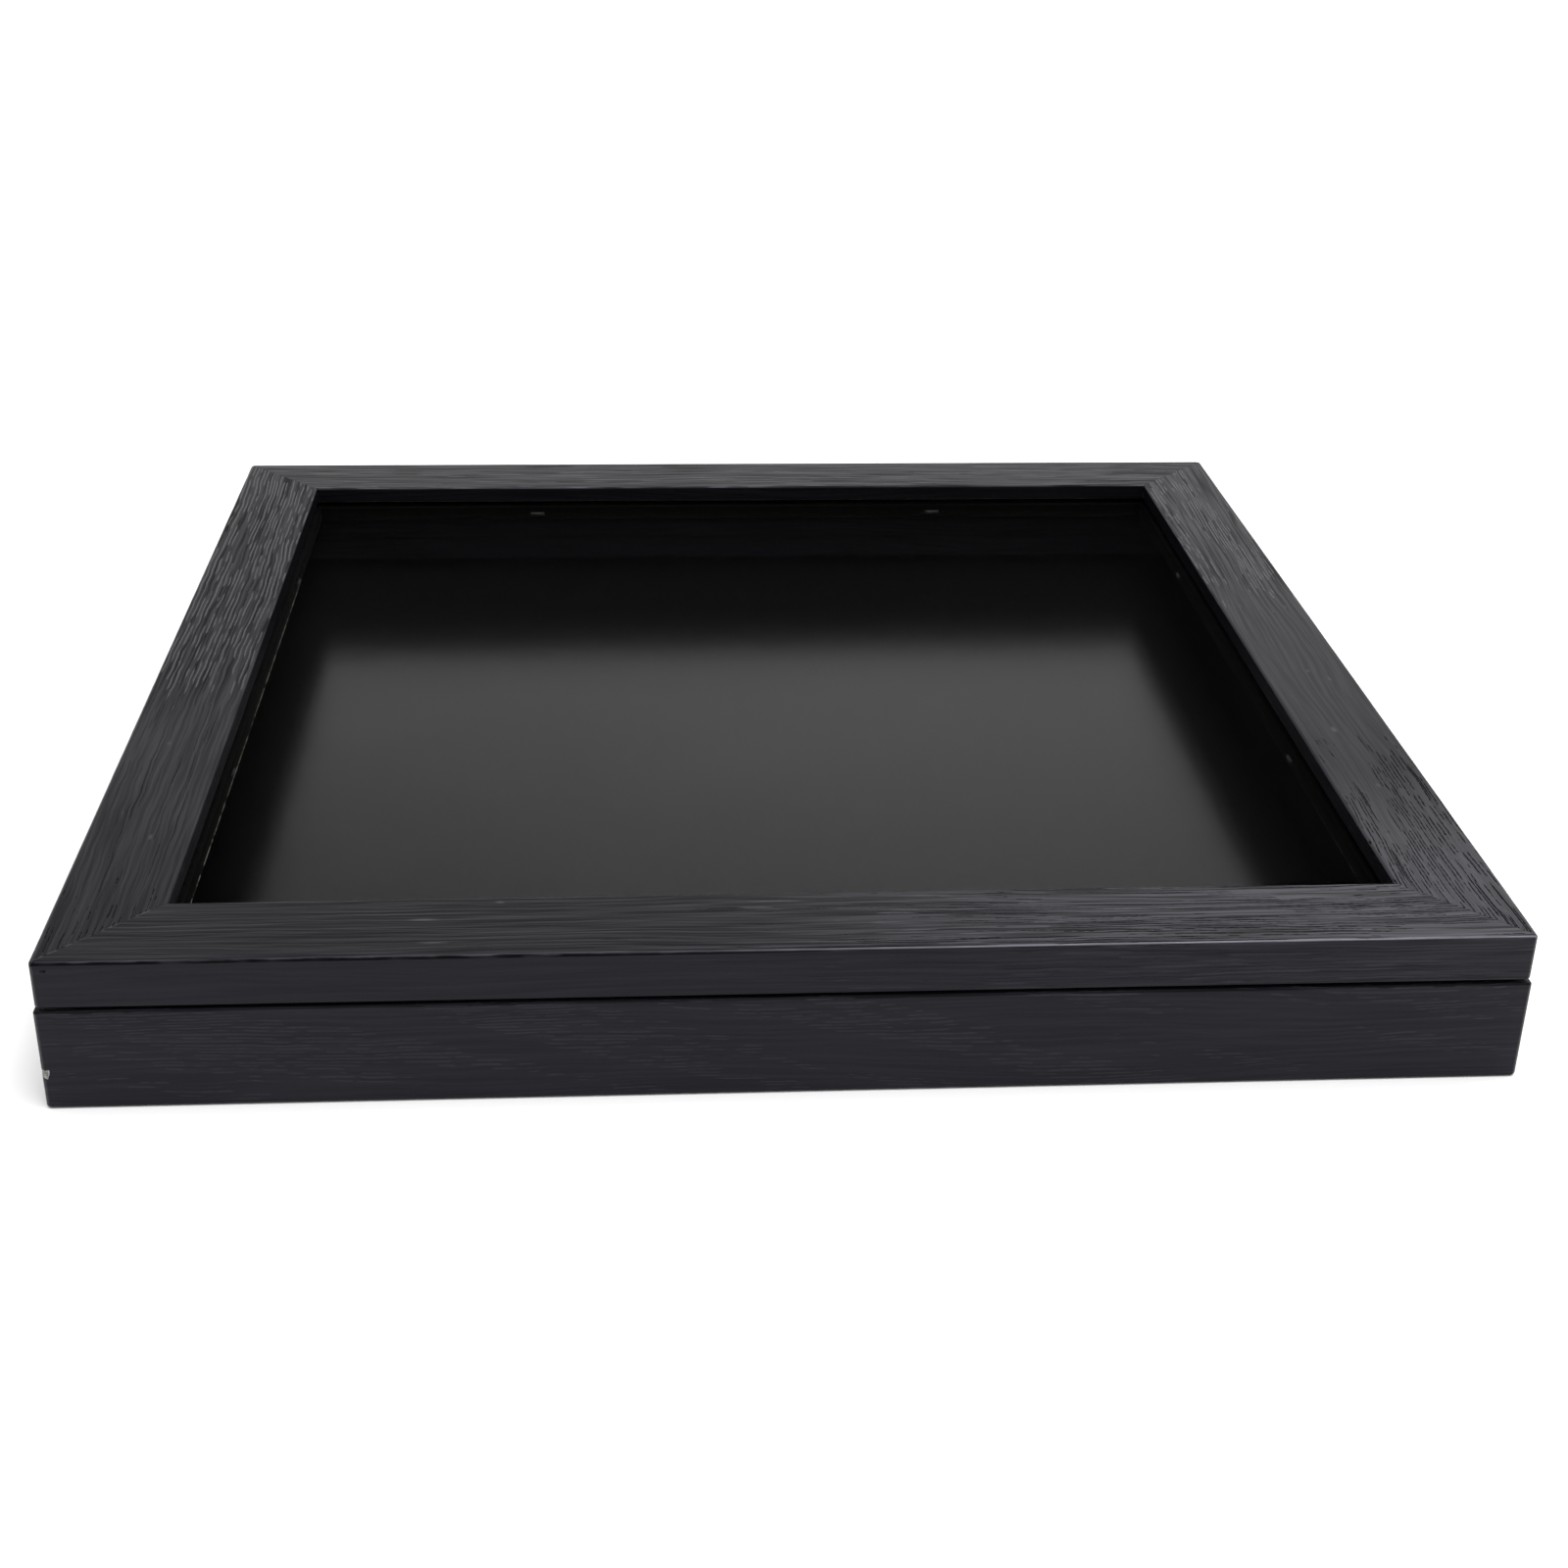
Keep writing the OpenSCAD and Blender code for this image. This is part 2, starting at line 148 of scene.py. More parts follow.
studio = {
    "floorHalf": 6.0,  # metres
    "floorUnder": 0.0002,  # a hair under the rear rim
    "floorColour": "#f8f8f8",
    "topFrom": (0.1, -0.15, 1.0),  # a wide soft lamp overhead
    "topStrength": 2.5,
    "topAngle": 50,  # degrees across
    "sides": (-0.25, 0.3),  # from left to right, as the sine of the angle
    "lowLight": (0.93, 0.97),  # brightness of the white walls there, low down
    "highLight": (0.32, 1.0),  # and high up
    "heights": (0.36, 0.5),  # from low to high, as the sine of the angle
}
half = studio["floorHalf"]
floorCorners = [(-half, -half, 0), (half, -half, 0), (half, half, 0), (-half, half, 0)]
floorMesh = bpy.data.meshes.new("floor")
floorMesh.from_pydata(floorCorners, [], [(0, 1, 2, 3)])
floor = newObject("floor", floorMesh)
floor.location.z = -studio["floorUnder"]
floorPaint, add = newMaterial("matt white studio floor")
add("OutputMaterial", (add("BsdfDiffuse", {"Color": studio["floorColour"]}),))
floorMesh.materials.append(floorPaint)

lamp = bpy.data.lights.new("top lamp", "SUN")
lamp.energy = studio["topStrength"]
lamp.angle = math.radians(studio["topAngle"])
lampObject = newObject("top_lamp", lamp)
lampObject.rotation_mode = "QUATERNION"
lampObject.rotation_quaternion = Vector(studio["topFrom"]).to_track_quat("Z", "Y")

# white walls, lit most at the right and low down, are what the black surfaces mirror
room = bpy.data.worlds.new("white studio walls")
room.use_nodes = True
room.node_tree.nodes.clear()
add = partial(addNode, room.node_tree)
parts = add("SeparateXYZ", (add("TexCoord").outputs["Generated"],))
fromLeft = (parts.outputs["X"], *studio["sides"])
lowWall = add("MapRange", (*fromLeft, *studio["lowLight"]))
highWall = add("MapRange", (*fromLeft, *studio["highLight"]), "SMOOTHSTEP")
raised = add("MapRange", (parts.outputs["Z"], *studio["heights"]), "SMOOTHSTEP")
wallLight = add("Mix", (raised, lowWall, highWall))
background = add("Background", {"Color": (1, 1, 1, 1), "Strength": wallLight})
add("OutputWorld", (background,))
scene.world = room
scene.view_settings.view_transform = "Standard"
print("camera, floor and light are set")


# an object from a shape, which is used up
def addObject(name, shape, materials):
    bmesh.ops.recalc_face_normals(shape, faces=shape.faces)
    mesh = bpy.data.meshes.new(name)
    shape.to_mesh(mesh)
    shape.free()
    for material in materials:
        mesh.materials.append(material)
    return newObject(name, mesh)


# smooth, but sharp at steep edges and where two finishes meet
def shadeByAngle(piece, steep=35):
    piece.data.shade_smooth()
    piece.data.set_sharp_from_angle(angle=math.radians(steep))
    shape = bmesh.new()
    shape.from_mesh(piece.data)
    for edge in shape.edges:
        if len({face.material_index for face in edge.link_faces}) > 1:
            edge.smooth = False
    shape.to_mesh(piece.data)
    shape.free()


# a new piece in place of one CAD node, named for how it was made, on its body and with its finish
def addPiece(how, shape, materials, node):
    piece = addObject(how + "_" + node, shape, materials)
    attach(piece, bodyOf[node])
    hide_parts(node)
    shadeByAngle(piece)
    return piece


# an object that cuts and isn't kept; what it cuts gets the last of the materials
def addCutter(shape, materials):
    for face in shape.faces:
        face.material_index = len(materials) - 1
    return addObject("cutter", shape, materials)


def cutAway(piece, cutters):
    for cutter in cutters:
        change = piece.modifiers.new("cut", "BOOLEAN")
        change.operation = "DIFFERENCE"
        change.solver = "EXACT"
        change.object = cutter
    bpy.context.view_layer.update()
    whole = piece.data
    piece.data = bpy.data.meshes.new_from_object(piece.evaluated_get(bpy.context.evaluated_depsgraph_get()))
    piece.modifiers.clear()
    bpy.data.meshes.remove(whole)
    piece.data.name = piece.name
    shadeByAngle(piece)
    for cutter in cutters:
        bpy.data.meshes.remove(cutter.data)


# a CAD node's shape, with its doubled points joined
def weldedShape(node):
    shape = bmesh.new()
    shape.from_mesh(nodes[node].data)
    bmesh.ops.remove_doubles(shape, verts=shape.verts, dist=weldGap)
    return shape


# a CAD node's solids, grown a little, to cut their seat into what holds them
def seatCutter(node, grow, materials):
    shape = weldedShape(node)
    shape.normal_update()
    away = [vert.normal * vert.calc_shell_factor() * grow * mm for vert in shape.verts]
    for vert, step in zip(shape.verts, away):
        vert.co += step
    return addCutter(shape, materials)


# lowest and highest corners, in mm, of each separate solid in a CAD node
def solidBoxes(node):
    shape = weldedShape(node)
    waiting = set(shape.verts)
    boxes = []
    while waiting:
        reached = [waiting.pop()]
        solid = []
        while reached:
            vert = reached.pop()
            solid.append(vert.co / mm)
            linked = {edge.other_vert(vert) for edge in vert.link_edges} & waiting
            waiting -= linked
            reached.extend(linked)
        boxes.append([Vector([pick(row) for row in zip(*solid)]) for pick in (min, max)])
    shape.free()
    return sorted(boxes, key=lambda box: tuple(round(c, 2) for c in box[0]))


# a band of faces between two closed rows of points, or between a row and a single point
def addBand(shape, low, high):
    faces = []
    count = max(len(low), len(high))
    for k in range(count):
        j = (k + 1) % count
        corners = (low[k % len(low)], low[j % len(low)], high[j % len(high)], high[k % len(high)])
        faces.append(shape.faces.new(dict.fromkeys(corners)))
    return faces


# Black oak foil on MDF: printed and embossed PVC film, satin. Short sunk pores, raised streaks and long
# thin lines run along each bar and break up a soft sheen. The edges are paler, partly worn film and partly
# painted highlight, and in places darker with painted shade.
foil = {
    # rubbed: the pale of worn film, scuffs and cut mitres, and of the painted highlights on the edges
    "ground": "#0c0b0e", "streak": "#121115", "pore": "#040405", "rubbed": "#6f6e74",
    "ior": 1.5,
    "specular": (0.05, 0.33),  # between the dull and the shiny streaks of the print
    "ridgeSpecular": 0.95,
    "markSpecular": 0.05,
    "sheen": "#eeebff",  # cool tint of the gloss
    "roughness": 0.36,
    "markRoughness": 0.6,
    "bend": (120.0, 30.0, 9.0),  # mm along, across and by, how the growth rings sway
    "wobble": (14.0, 5.0, 0.8),
    # what each lies on, mm along and across, detail, and the noise levels between which it comes in;
    # bars may have their own
    "layers": {
        "bundle": ("bent", 140.0, 5.0, 1.0, 0.36, 0.56),
        "swell": ("wavy", 22.0, 1.5, 1.0, 0.30, 0.70),
        "tone": ("wavy", 45.0, 1.0, 2.0, 0.35, 0.68),
        "ragged": ("plain", 1.5, 0.4, 1.0, 0.25, 0.75),
        "rub": ("plain", 9.0, 4.0, 2.0, 0.42, 0.66),
        "joint": ("plain", 3.0, 3.0, 1.0, 0.45, 0.60),
        "crease": ("plain", 14.0, 9.0, 2.0, 0.36, 0.50),
    },
    # length of a mark, mm between rows, then half its width, its soft edge and its raggedness as shares of
    # that; marks are drawn about twice as wide as real pores, so that they show
    "rows": {"pore": (8.0, 1.05, 0.22, 0.16, 0.16), "line": (32.0, 0.9, 0.3, 0.2, 0.1)},
    "rowStep": 1.7,  # between rows in the noise, so that each has marks of its own
    "rarity": (0.74, 0.38),  # noise level that a mark takes where they are few and many
    "taper": 0.12,  # rise of the noise over which a mark gets its full width
    "warpSeeds": 5, "layerSeeds": (11, 7), "rowSeeds": 3,  # steps between the seeds of the noises
    "swellDepth": 0.08, "markDepth": 0.08, "ridgeHeight": 0.08,  # mm
    "edgeWidth": 0.45,
    "edgeTurn": (-1.0, 0.5),  # from the side to the face
    "innerTurn": (0.3, 0.05),  # before the face ends
    "jointWidth": (0.1, 0.3),
    # soft edge of the painted shade along the outer edge, mm
    "edgeShadeSoft": 0.3,
    "scuffCore": 0.2,  # share of a scuff that is full
}


# v is the distance from the outer front edge, inwards over the face and negative down the side,
# so that the grain runs over the edge as a wrapped film does
def blackOakFoil(name, side, outer, top, face, bar):
    material, add = newMaterial(name)
    seed = bar["seed"]
    size = placeInMm(add)
    u = add("VectorMath", (size, side["along"]), "DOT_PRODUCT")
    across = add("VectorMath", (size, Vector(side["inward"]) + up), "DOT_PRODUCT")
    v = add("Math", (across, outer - top), "ADD")
    slanted = add("Math", (u, bar["slant"], v), "MULTIPLY_ADD")

    where = {"plain": add("CombineXYZ", (u, v, 1.0)), "slanted": add("CombineXYZ", (u, slanted, 1.0))}
    sway = v
    for order, (before, after, warp) in enumerate((("plain", "bent", "bend"), ("bent", "wavy", "wobble"))):
        length, width, by = foil[warp]
        scale = (1 / length, 1 / width, seed + foil["warpSeeds"] * order)
        drift = grainNoise(add, where[before], scale, 1.0)
        sway = add("Math", (drift, by * bar[warp], sway), "MULTIPLY_ADD")
        where[after] = add("CombineXYZ", (u, sway, 1.0))

    layer = {}
    layers = {"patch": bar["patch"], **foil["layers"], **bar["layers"]}
    firstSeed, nextSeed = foil["layerSeeds"]
    for order, (kind, (on, length, width, detail, *levels)) in enumerate(layers.items()):
        scale = (1 / length, 1 / width, seed + firstSeed + nextSeed * order)
        speck = grainNoise(add, where[on], scale, detail)
        layer[kind] = add("MapRange", (speck, *levels), "SMOOTHSTEP")

    # pores, long lines and light ridges: tapered dashes in rows along the grain, more of them where the
    # bar's own ramp and a patch let them in
    ramp = {}
    for kind in ("pore", "ridge", "line", "crease", "edgeHighlight"):
        begin, full, share = bar[kind]
        ramp[kind] = add("MapRange", (u, begin, full, 0.0, share), "SMOOTHSTEP")
    rows = {**foil["rows"], "ridge": bar["ridgeRows"], **bar["rows"]}
    for order, (kind, (length, apart, halfWidth, soft, ragged)) in enumerate(rows.items()):
        rowPlace = add("Math", (sway, 1 / apart), "MULTIPLY")
        row = add("Math", (rowPlace,), "ROUND")
        fromRow = add("Math", (rowPlace, 0.5), "PINGPONG")
        torn = add("Math", (layer["ragged"], ragged, fromRow), "MULTIPLY_ADD")
        onRow = add("CombineXYZ", (u, row, 1.0))
        scale = (1 / length, foil["rowStep"], seed + foil["rowSeeds"] * order)
        chance = grainNoise(add, onRow, scale, 1.0)
        patch = layer["bundle" if kind == "line" else "patch"]
        crowd = add("Math", (patch, ramp[kind]), "MULTIPLY")
        bound = add("MapRange", (crowd, 0.0, 1.0, *foil["rarity"]))
        over = add("Math", (chance, bound), "SUBTRACT")
        wide = add("MapRange", (over, 0.0, foil["taper"], 0.0, halfWidth + ragged / 2))
        inside = add("Math", (wide, torn), "SUBTRACT")
        layer[kind] = add("MapRange", (inside, 0.0, soft), "SMOOTHSTEP")

    # marks are fainter down the outer side, and the faces inside have none
    inwards = add("VectorMath", (size, side["inward"]), "DOT_PRODUCT")
    inner = add("MapRange", (inwards, *[face - outer - before for before in foil["innerTurn"]]))
    markShare = add("MapRange", (v, *foil["edgeTurn"], bar["sideMarks"]))
    onFace = add("Math", (markShare, inner), "SUBTRACT", use_clamp=True)
    printShare = add("MapRange", (v, *foil["edgeTurn"], bar["sidePrint"]))
    faint = add("Math", (layer["line"], bar["lineTone"]), "MULTIPLY")
    either = add("Math", (layer["pore"], faint), "MAXIMUM")
    mark = add("Math", (either, onFace), "MULTIPLY")
    light = add("Math", (layer["ridge"], bar["ridgeTone"]), "MULTIPLY")
    ridge = add("Math", (light, onFace), "MULTIPLY")

    # painted shade: the colour is darkened and the gloss dulled along the outer edge of the door, and along
    # the top edge of the box under the door, in place of shade
    lowest, highest = bar["edgeShadeBand"]
    below = add("MapRange", (v, lowest, lowest + foil["edgeShadeSoft"]))
    above = add("MapRange", (v, highest + foil["edgeShadeSoft"], highest))
    crease = below
    for part in (above, layer["crease"], ramp["crease"]):
        crease = add("Math", (crease, part), "MULTIPLY")
    dark = add("Math", (mark, crease), "MAXIMUM")

    tone = add("Mix", (layer["tone"], foil["ground"], foil["streak"]), "RGBA")
    marked = add("Mix", (dark, tone, foil["pore"]), "RGBA")

    # film paler along the outer edge, partly worn and partly a painted highlight that grows along some bars,
    # a painted highlight along the sight edge, and the film cut through at the mitres
    wearAndHighlight = add("Math", (layer["rub"], bar["rub"], ramp["edgeHighlight"]), "MULTIPLY_ADD")
    pale = None
    for edgeAt, share in ((0.0, wearAndHighlight), (face, bar["sightHighlight"])):
        edgeFrom = add("Math", (v, edgeAt), "SUBTRACT")
        edgeAway = add("Math", (edgeFrom,), "ABSOLUTE")
        edge = add("MapRange", (edgeAway, foil["edgeWidth"], foil["edgeWidth"] / 3))
        rubbed = add("Math", (edge, share), "MULTIPLY")
        pale = add("Math", (rubbed, pale), "MAXIMUM") if pale else rubbed
    flat = add("SeparateXYZ", (size,))
    aways = [add("Math", (flat.outputs[axis],), "ABSOLUTE") for axis in "XY"]
    jointFrom = add("Math", aways, "SUBTRACT")
    jointAway = add("Math", (jointFrom,), "ABSOLUTE")
    joint = add("MapRange", (jointAway, *foil["jointWidth"], bar["jointRub"], 0.0))
    split = add("Math", (joint, layer["joint"]), "MULTIPLY")
    pale = add("Math", (pale, split), "MAXIMUM")
    for scuffAlong, scuffAcross, scuffLength, scuffWidth, strength in bar["scuffs"]:
        offset = add("VectorMath", (where["plain"], (scuffAlong, scuffAcross, 1.0)), "SUBTRACT")
        shrunk = add("VectorMath", (offset, (2 / scuffLength, 2 / scuffWidth, 0.0)), "MULTIPLY")
        reach = add("VectorMath", (shrunk,), "LENGTH")
        scuff = add("MapRange", (reach, foil["scuffCore"], 1.0, strength, 0.0))
        pale = add("Math", (pale, scuff), "MAXIMUM")
    colour = add("Mix", (pale, marked, foil["rubbed"]), "RGBA")

    dull, bright = foil["specular"]
    between = (dull + bright) / 2
    printed = add("MapRange", (layer["tone"], 0.0, 1.0, dull, bright))
    calm = add("MapRange", (ramp["ridge"], 0.0, 1.0, bar["calm"]))  # fainter print off the ridges
    softer = add("Mix", (calm, between, printed))
    begin, full, gain = bar["shine"]
    rise = add("MapRange", (u, begin, full, 1.0, gain), "SMOOTHSTEP")
    polished = add("Math", (softer, rise), "MULTIPLY")
    ground = add("Mix", (printShare, between, polished))
    shiny = add("Mix", (ridge, ground, foil["ridgeSpecular"]))
    matt = add("Math", (dark, inner), "MAXIMUM")  # the faces inside are left matt
    gloss = add("Mix", (matt, shiny, foil["markSpecular"]))
    rough = add("MapRange", (dark, 0.0, 1.0, foil["roughness"], foil["markRoughness"]))
    swell = add("Math", (layer["swell"], foil["swellDepth"] * bar["swell"]), "MULTIPLY")
    raised = add("Math", (ridge, foil["ridgeHeight"], swell), "MULTIPLY_ADD")
    height = add("Math", (mark, -foil["markDepth"], raised), "MULTIPLY_ADD")
    bump = add("Bump", {"Height": height, "Distance": mm})
    shader = add("BsdfPrincipled", {
        "Base Color": colour, "Roughness": rough, "Normal": bump, "IOR": foil["ior"],
        "Specular IOR Level": gloss, "Specular Tint": foil["sheen"]})
    add("OutputMaterial", (shader,))
    return material


# two tones, mixed and raised by one noise
def mottledFinish(name, look):
    material, add = newMaterial(name)
    place = add("TexCoord").outputs["Object"]
    grain = add("TexNoise", {"Vector": place, "Scale": 1 / (look["grain"] * mm), "Detail": look["detail"]})
    spread = add("MapRange", (grain, *look["span"]))
    tone = add("Mix", (spread, look["dark"], look["pale"]), "RGBA")
    bump = add("Bump", {"Height": grain, "Distance": look["depth"] * mm})
    shader = add("BsdfPrincipled", {"Base Color": tone, "Normal": bump, **look["surface"]})
    add("OutputMaterial", (shader,))
    return material


dullSurface = {"Roughness": 0.9, "Specular IOR Level": 0.2}
felted = {"detail": 4.0, "span": noiseSpan, "surface": dullSurface}
# Raw MDF, sawn: pale brown fibres, quite matt, in the rebates and kerfs
mdf = {"pale": "#b5a58c", "dark": "#857157", "grain": 0.6, "depth": 0.05, **felted}
rawMdf = mottledFinish("raw sawn MDF", mdf)
# Film torn off with some of the board: dusty grey, at the chip
torn = {"pale": "#bdbbb8", "dark": "#75736f", "grain": 0.5, "depth": 0.1, **felted}
tornFilm = mottledFinish("torn film and dust", torn)
# Wax filler rubbed into a nail hole: a small dead black spot
wax = {"pale": "#141315", "dark": "#0a0a0b", "grain": 0.5, "depth": 0.05, **felted}
wax["surface"] = {**dullSurface, "Roughness": 0.7}
waxFiller = mottledFinish("black wax filler", wax)


# turns over a quarter of a circle
def quarterTurns(steps):
    return [math.pi / 2 * k / steps for k in range(steps + 1)]


# corners are (inwards, height, radius, finish of the face that follows), in mm;
# a point just past each arc keeps the wide faces flat in the shading
def roundProfile(corners, steps=5, guard=0.25):
    points = []
    for i, (inwards, height, radius, finish) in enumerate(corners):
        here = Vector((inwards, height))
        back = (Vector(corners[i - 1][:2]) - here).normalized()
        ahead = (Vector(corners[(i + 1) % len(corners)][:2]) - here).normalized()
        if not radius:
            points.append((here, finish))
            continue
        centre = here + (back + ahead) * radius
        points.append((here + back * (radius + guard), 0))
        for turn in quarterTurns(steps):
            points.append((centre - (ahead * math.cos(turn) + back * math.sin(turn)) * radius, 0))
        points.append((here + ahead * (radius + guard), finish))
    return points


# the same outline, smaller all round, for the eased end of a bar
def shrinkProfile(spots, by, leastLean=0.4):
    smaller = []
    for i, here in enumerate(spots):
        back = (here - spots[i - 1]).normalized()
        ahead = (spots[(i + 1) % len(spots)] - here).normalized()
        inside = Vector((back.y + ahead.y, -back.x - ahead.x)).normalized()
        smaller.append(here + inside * by / max(leastLean, inside.dot(Vector((back.y, -back.x)))))
    return smaller


# upright corner of the frame: its sections and what goes at the mitre, as shares of its radius,
# and how far in from the side it is rounded, in mm
upright = {"sections": (0.45, 0.7, 1.0), "most": 0.293, "reach": 1.5}


# a mitred bar: the profile runs from mitre to mitre, with its edges worn as wear says and the upright
# corner of the frame rounded
def loftBar(profile, outer, side, step, ease, wear, extra=(), corner=0.0):
    along = Vector(side["along"])
    inward = Vector(side["inward"])
    spots = [spot for spot, finish in profile]
    count = int(2 * outer / step)
    places = {outer - ease, ease - outer, *extra}
    places |= {outer * (2 * k / count - 1) for k in range(1, count)}
    places |= {way * (outer - corner * part) for part in upright["sections"] for way in (-1, 1) if corner}
    shares = [-1.0] + sorted(place / outer for place in places) + [1.0]
    shape = bmesh.new()
    rows = []
    for share in shares:
        row = []
        left = max(0.0, corner - outer * (1 - abs(share)))
        dip = min(corner * upright["most"], corner - math.sqrt(max(0.0, corner ** 2 - left ** 2)))
        for spot in shrinkProfile(spots, ease) if abs(share) == 1 else spots:
            moved = spot + wear(share * (outer - spot.x), spot)
            moved.x += dip * max(0.0, 1 - spot.x / upright["reach"])
            place = along * share * (outer - moved.x) + inward * (moved.x - outer) + up * moved.y
            row.append(shape.verts.new(place * mm))
        rows.append(row)
    for low, high in zip(rows, rows[1:]):
        for face, (spot, finish) in zip(addBand(shape, low, high), profile):
            face.material_index = finish
    for row in (rows[0], rows[-1]):
        shape.faces.new(row).material_index = 1
    return shape


# edges are (corner, direction of wear, radius); nicks are (place along the bar, length, depth), in mm
def edgeWear(seed, edges, ripple, nicks, waveLength=8):
    def wear(u, spot):
        dent = sum(depth * max(0.0, 1 - (2 * (u - at) / length) ** 2) for at, length, depth in nicks)
        waves = ripple * (0.5 + 0.5 * noise.noise(Vector((u / waveLength, seed, 0.5))))
        move = Vector((0, 0))
        for corner, towards, radius in edges:
            near = max(0.0, 1 - (spot - Vector(corner)).length / radius)
            move += Vector(towards) * near * (dent + waves)
        return move
    return wear


sideTurns = {  # the side is the last word in the name of a bar
    "front": {"along": (1, 0, 0), "inward": (0, 1, 0)},
    "right": {"along": (0, 1, 0), "inward": (-1, 0, 0)},
    "rear": {"along": (1, 0, 0), "inward": (0, -1, 0)},
    "left": {"along": (0, 1, 0), "inward": (1, 0, 0)},
}
allAlong = (-300, -299)  # full from end to end
# pore, ridge, line, crease (painted shade), edgeHighlight (painted highlight) and shine: where they begin
# and are full along the bar, in mm, and their share, or the gain of the shine; scuffs: mm along, across,
# long and wide, and how pale
bareBar = {
    "bend": 1.0, "wobble": 1.0, "slant": 0.05, "patch": ("slanted", 60.0, 8.0, 1.0, 0.30, 0.55),
    "layers": {}, "rows": {}, "sideMarks": 0.25, "sidePrint": 0.25, "calm": 0.55, "swell": 0.6,
    "pore": (*allAlong, 0.3), "line": (*allAlong, 0.6), "lineTone": 0.6,
    "ridge": (*allAlong, 0.5), "ridgeRows": (18.0, 1.9, 0.3, 0.3, 0.06), "ridgeTone": 0.4,
    # edge shade is painted shade on the outer edge; edge highlight and sight highlight are painted highlights
    "crease": (*allAlong, 0.3), "edgeShadeBand": (-1.1, -0.1), "shine": (*allAlong, 1.0),
    "rub": 0.15, "edgeHighlight": (*allAlong, 0.0), "sightHighlight": 0.12, "jointRub": 0.3, "scuffs": (), "nicks": (),
}
doorBars = {
    "door_rail_front": {
        "seed": 3.0, "swell": 0.5, "sidePrint": 0.1,
        "pore": (-60, 140, 1.25), "line": (-190, 110, 1.0), "lineTone": 1.0,
        "ridge": (-130, 150, 0.9), "ridgeRows": (18.0, 1.3, 0.3, 0.25, 0.08), "ridgeTone": 0.6,
        # painted shade on its outer edge at the left, painted highlight at the right and on the sight edge
        "shine": (-40, 150, 3.4), "crease": (60, -40, 1.0), "edgeHighlight": (-60, 60, 0.7), "sightHighlight": 0.25,
        "scuffs": ((-90, 17, 9, 1.2, 0.3), (-87, 6, 9, 1.2, 0.22), (-72, 25, 3, 1.5, 0.25),
                   (54, 27, 4, 1.0, 0.3), (20, 12, 5, 1.2, 0.15), (98, 20, 5, 1.5, 0.15)),
        "nicks": ((-141, 6, 0.3), (-112, 9, 0.35), (-70, 5, 0.4), (-58, 7, 0.35), (-40, 12, 0.3),
                  (-22, 4, 0.35)),
    },
    "door_stile_right": {
        "seed": 61.0, "swell": 0.3, "calm": 0.3,
        "pore": (-40, -115, 1.7), "rows": {"pore": (11.0, 0.95, 0.24, 0.18, 0.18)},
        "line": (-30, -130, 0.7), "lineTone": 1.0,
        "ridge": (0, 70, 1.0), "ridgeRows": (12.0, 1.1, 0.28, 0.25, 0.14), "ridgeTone": 1.0,
        "shine": (-85, -155, 3.4),
        "scuffs": ((-20, 13, 3, 1.5, 0.2), (-26, 8, 4, 1.5, 0.15), (-62, 17, 5, 2.0, 0.25),
                   (-98, 15, 4, 1.5, 0.15)),
    },
    "door_rail_rear": {
        "seed": 122.0, "line": (-300, 150, 0.9), "ridge": (*allAlong, 0.9), "ridgeTone": 0.5,
        "scuffs": ((122, 9, 9, 3.0, 0.2), (30, 18, 5, 2.0, 0.12)),
    },
    "door_stile_left": {
        "seed": 183.0, "bend": 0.7, "wobble": 1.6,
        "patch": ("slanted", 60.0, 8.0, 1.0, 0.22, 0.46), "pore": (-125, -165, 0.8), "line": (*allAlong, 0.7),
        "ridge": (-70, 20, 1.4), "ridgeRows": (16.0, 1.3, 0.28, 0.36, 0.07), "ridgeTone": 1.0,
        # a brighter painted highlight along the sight edge
        "shine": (-70, 20, 0.45), "sightHighlight": 0.5, "jointRub": 0.5,
        "scuffs": ((-62, 12, 3, 1.5, 0.15), (-118, 17, 4, 1.5, 0.18)),
    },
}
boxLook = {  # all four walls of the box
    "bend": 1.3, "wobble": 1.3, "slant": 0.25, "patch": ("slanted", 90.0, 8.0, 1.0, 0.44, 0.58),
    "sidePrint": 0.08, "pore": (*allAlong, 0.0), "line": (*allAlong, 0.3),
    "ridge": (*allAlong, 1.0), "ridgeRows": (7.0, 1.0, 0.26, 0.2, 0.1), "ridgeTone": 0.6,
    # painted shade along the top edge of the box, under the door
    "crease": (*allAlong, 0.75), "edgeShadeBand": (-0.5, 0.5),
    "layers": {"crease": ("plain", 40.0, 9.0, 2.0, 0.0, 0.25)}, "rub": 0.0,
}
boxSeeds = {"front": 244.0, "right": 305.0, "rear": 366.0, "left": 427.0}
boxBars = {"box_wall_" + side: {"seed": seed, **boxLook} for side, seed in boxSeeds.items()}
moulding = {
    "step": 6.0,  # mm between sections along a bar
    "ease": 0.12,  # eased edge at the mitres
    "doorArrises": (0.4, 0.9, 0.7),  # at the rear, the outer and the sight edge
    "boxArrises": (0.6, 0.6, 0.6),
    "boardPlay": 0.5,  # between the boards and the rebate
    "cornerRound": 1.2,
    "wearRipple": 0.15,
    "seatPlay": 0.1, "kerfPlay": 0.03,
}
doorLow, doorHigh = boxInMm("door_rail_front")
boxLow, boxHigh = boxInMm("box_wall_front")
rebateSide = -doorLow.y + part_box("glazing_bead_front")[0].y / mm
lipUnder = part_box("glazing_sheet")[1].z / mm
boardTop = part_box("display_board")[1].z / mm
rimWidth = -boxLow.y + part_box("display_board")[0].y / mm - moulding["boardPlay"]


# outline of a bar with a rebate behind
def barProfile(low, high, arrises, rebate, under):
    rear, outer, sight = arrises
    face = high.y - low.y
    return roundProfile((
        (0, low.z, rear, 0), (0, high.z, outer, 0), (face, high.z, sight, 0),
        (face, under, 0, 1), (rebate, under, 0, 1), (rebate, low.z, 0, 0)))


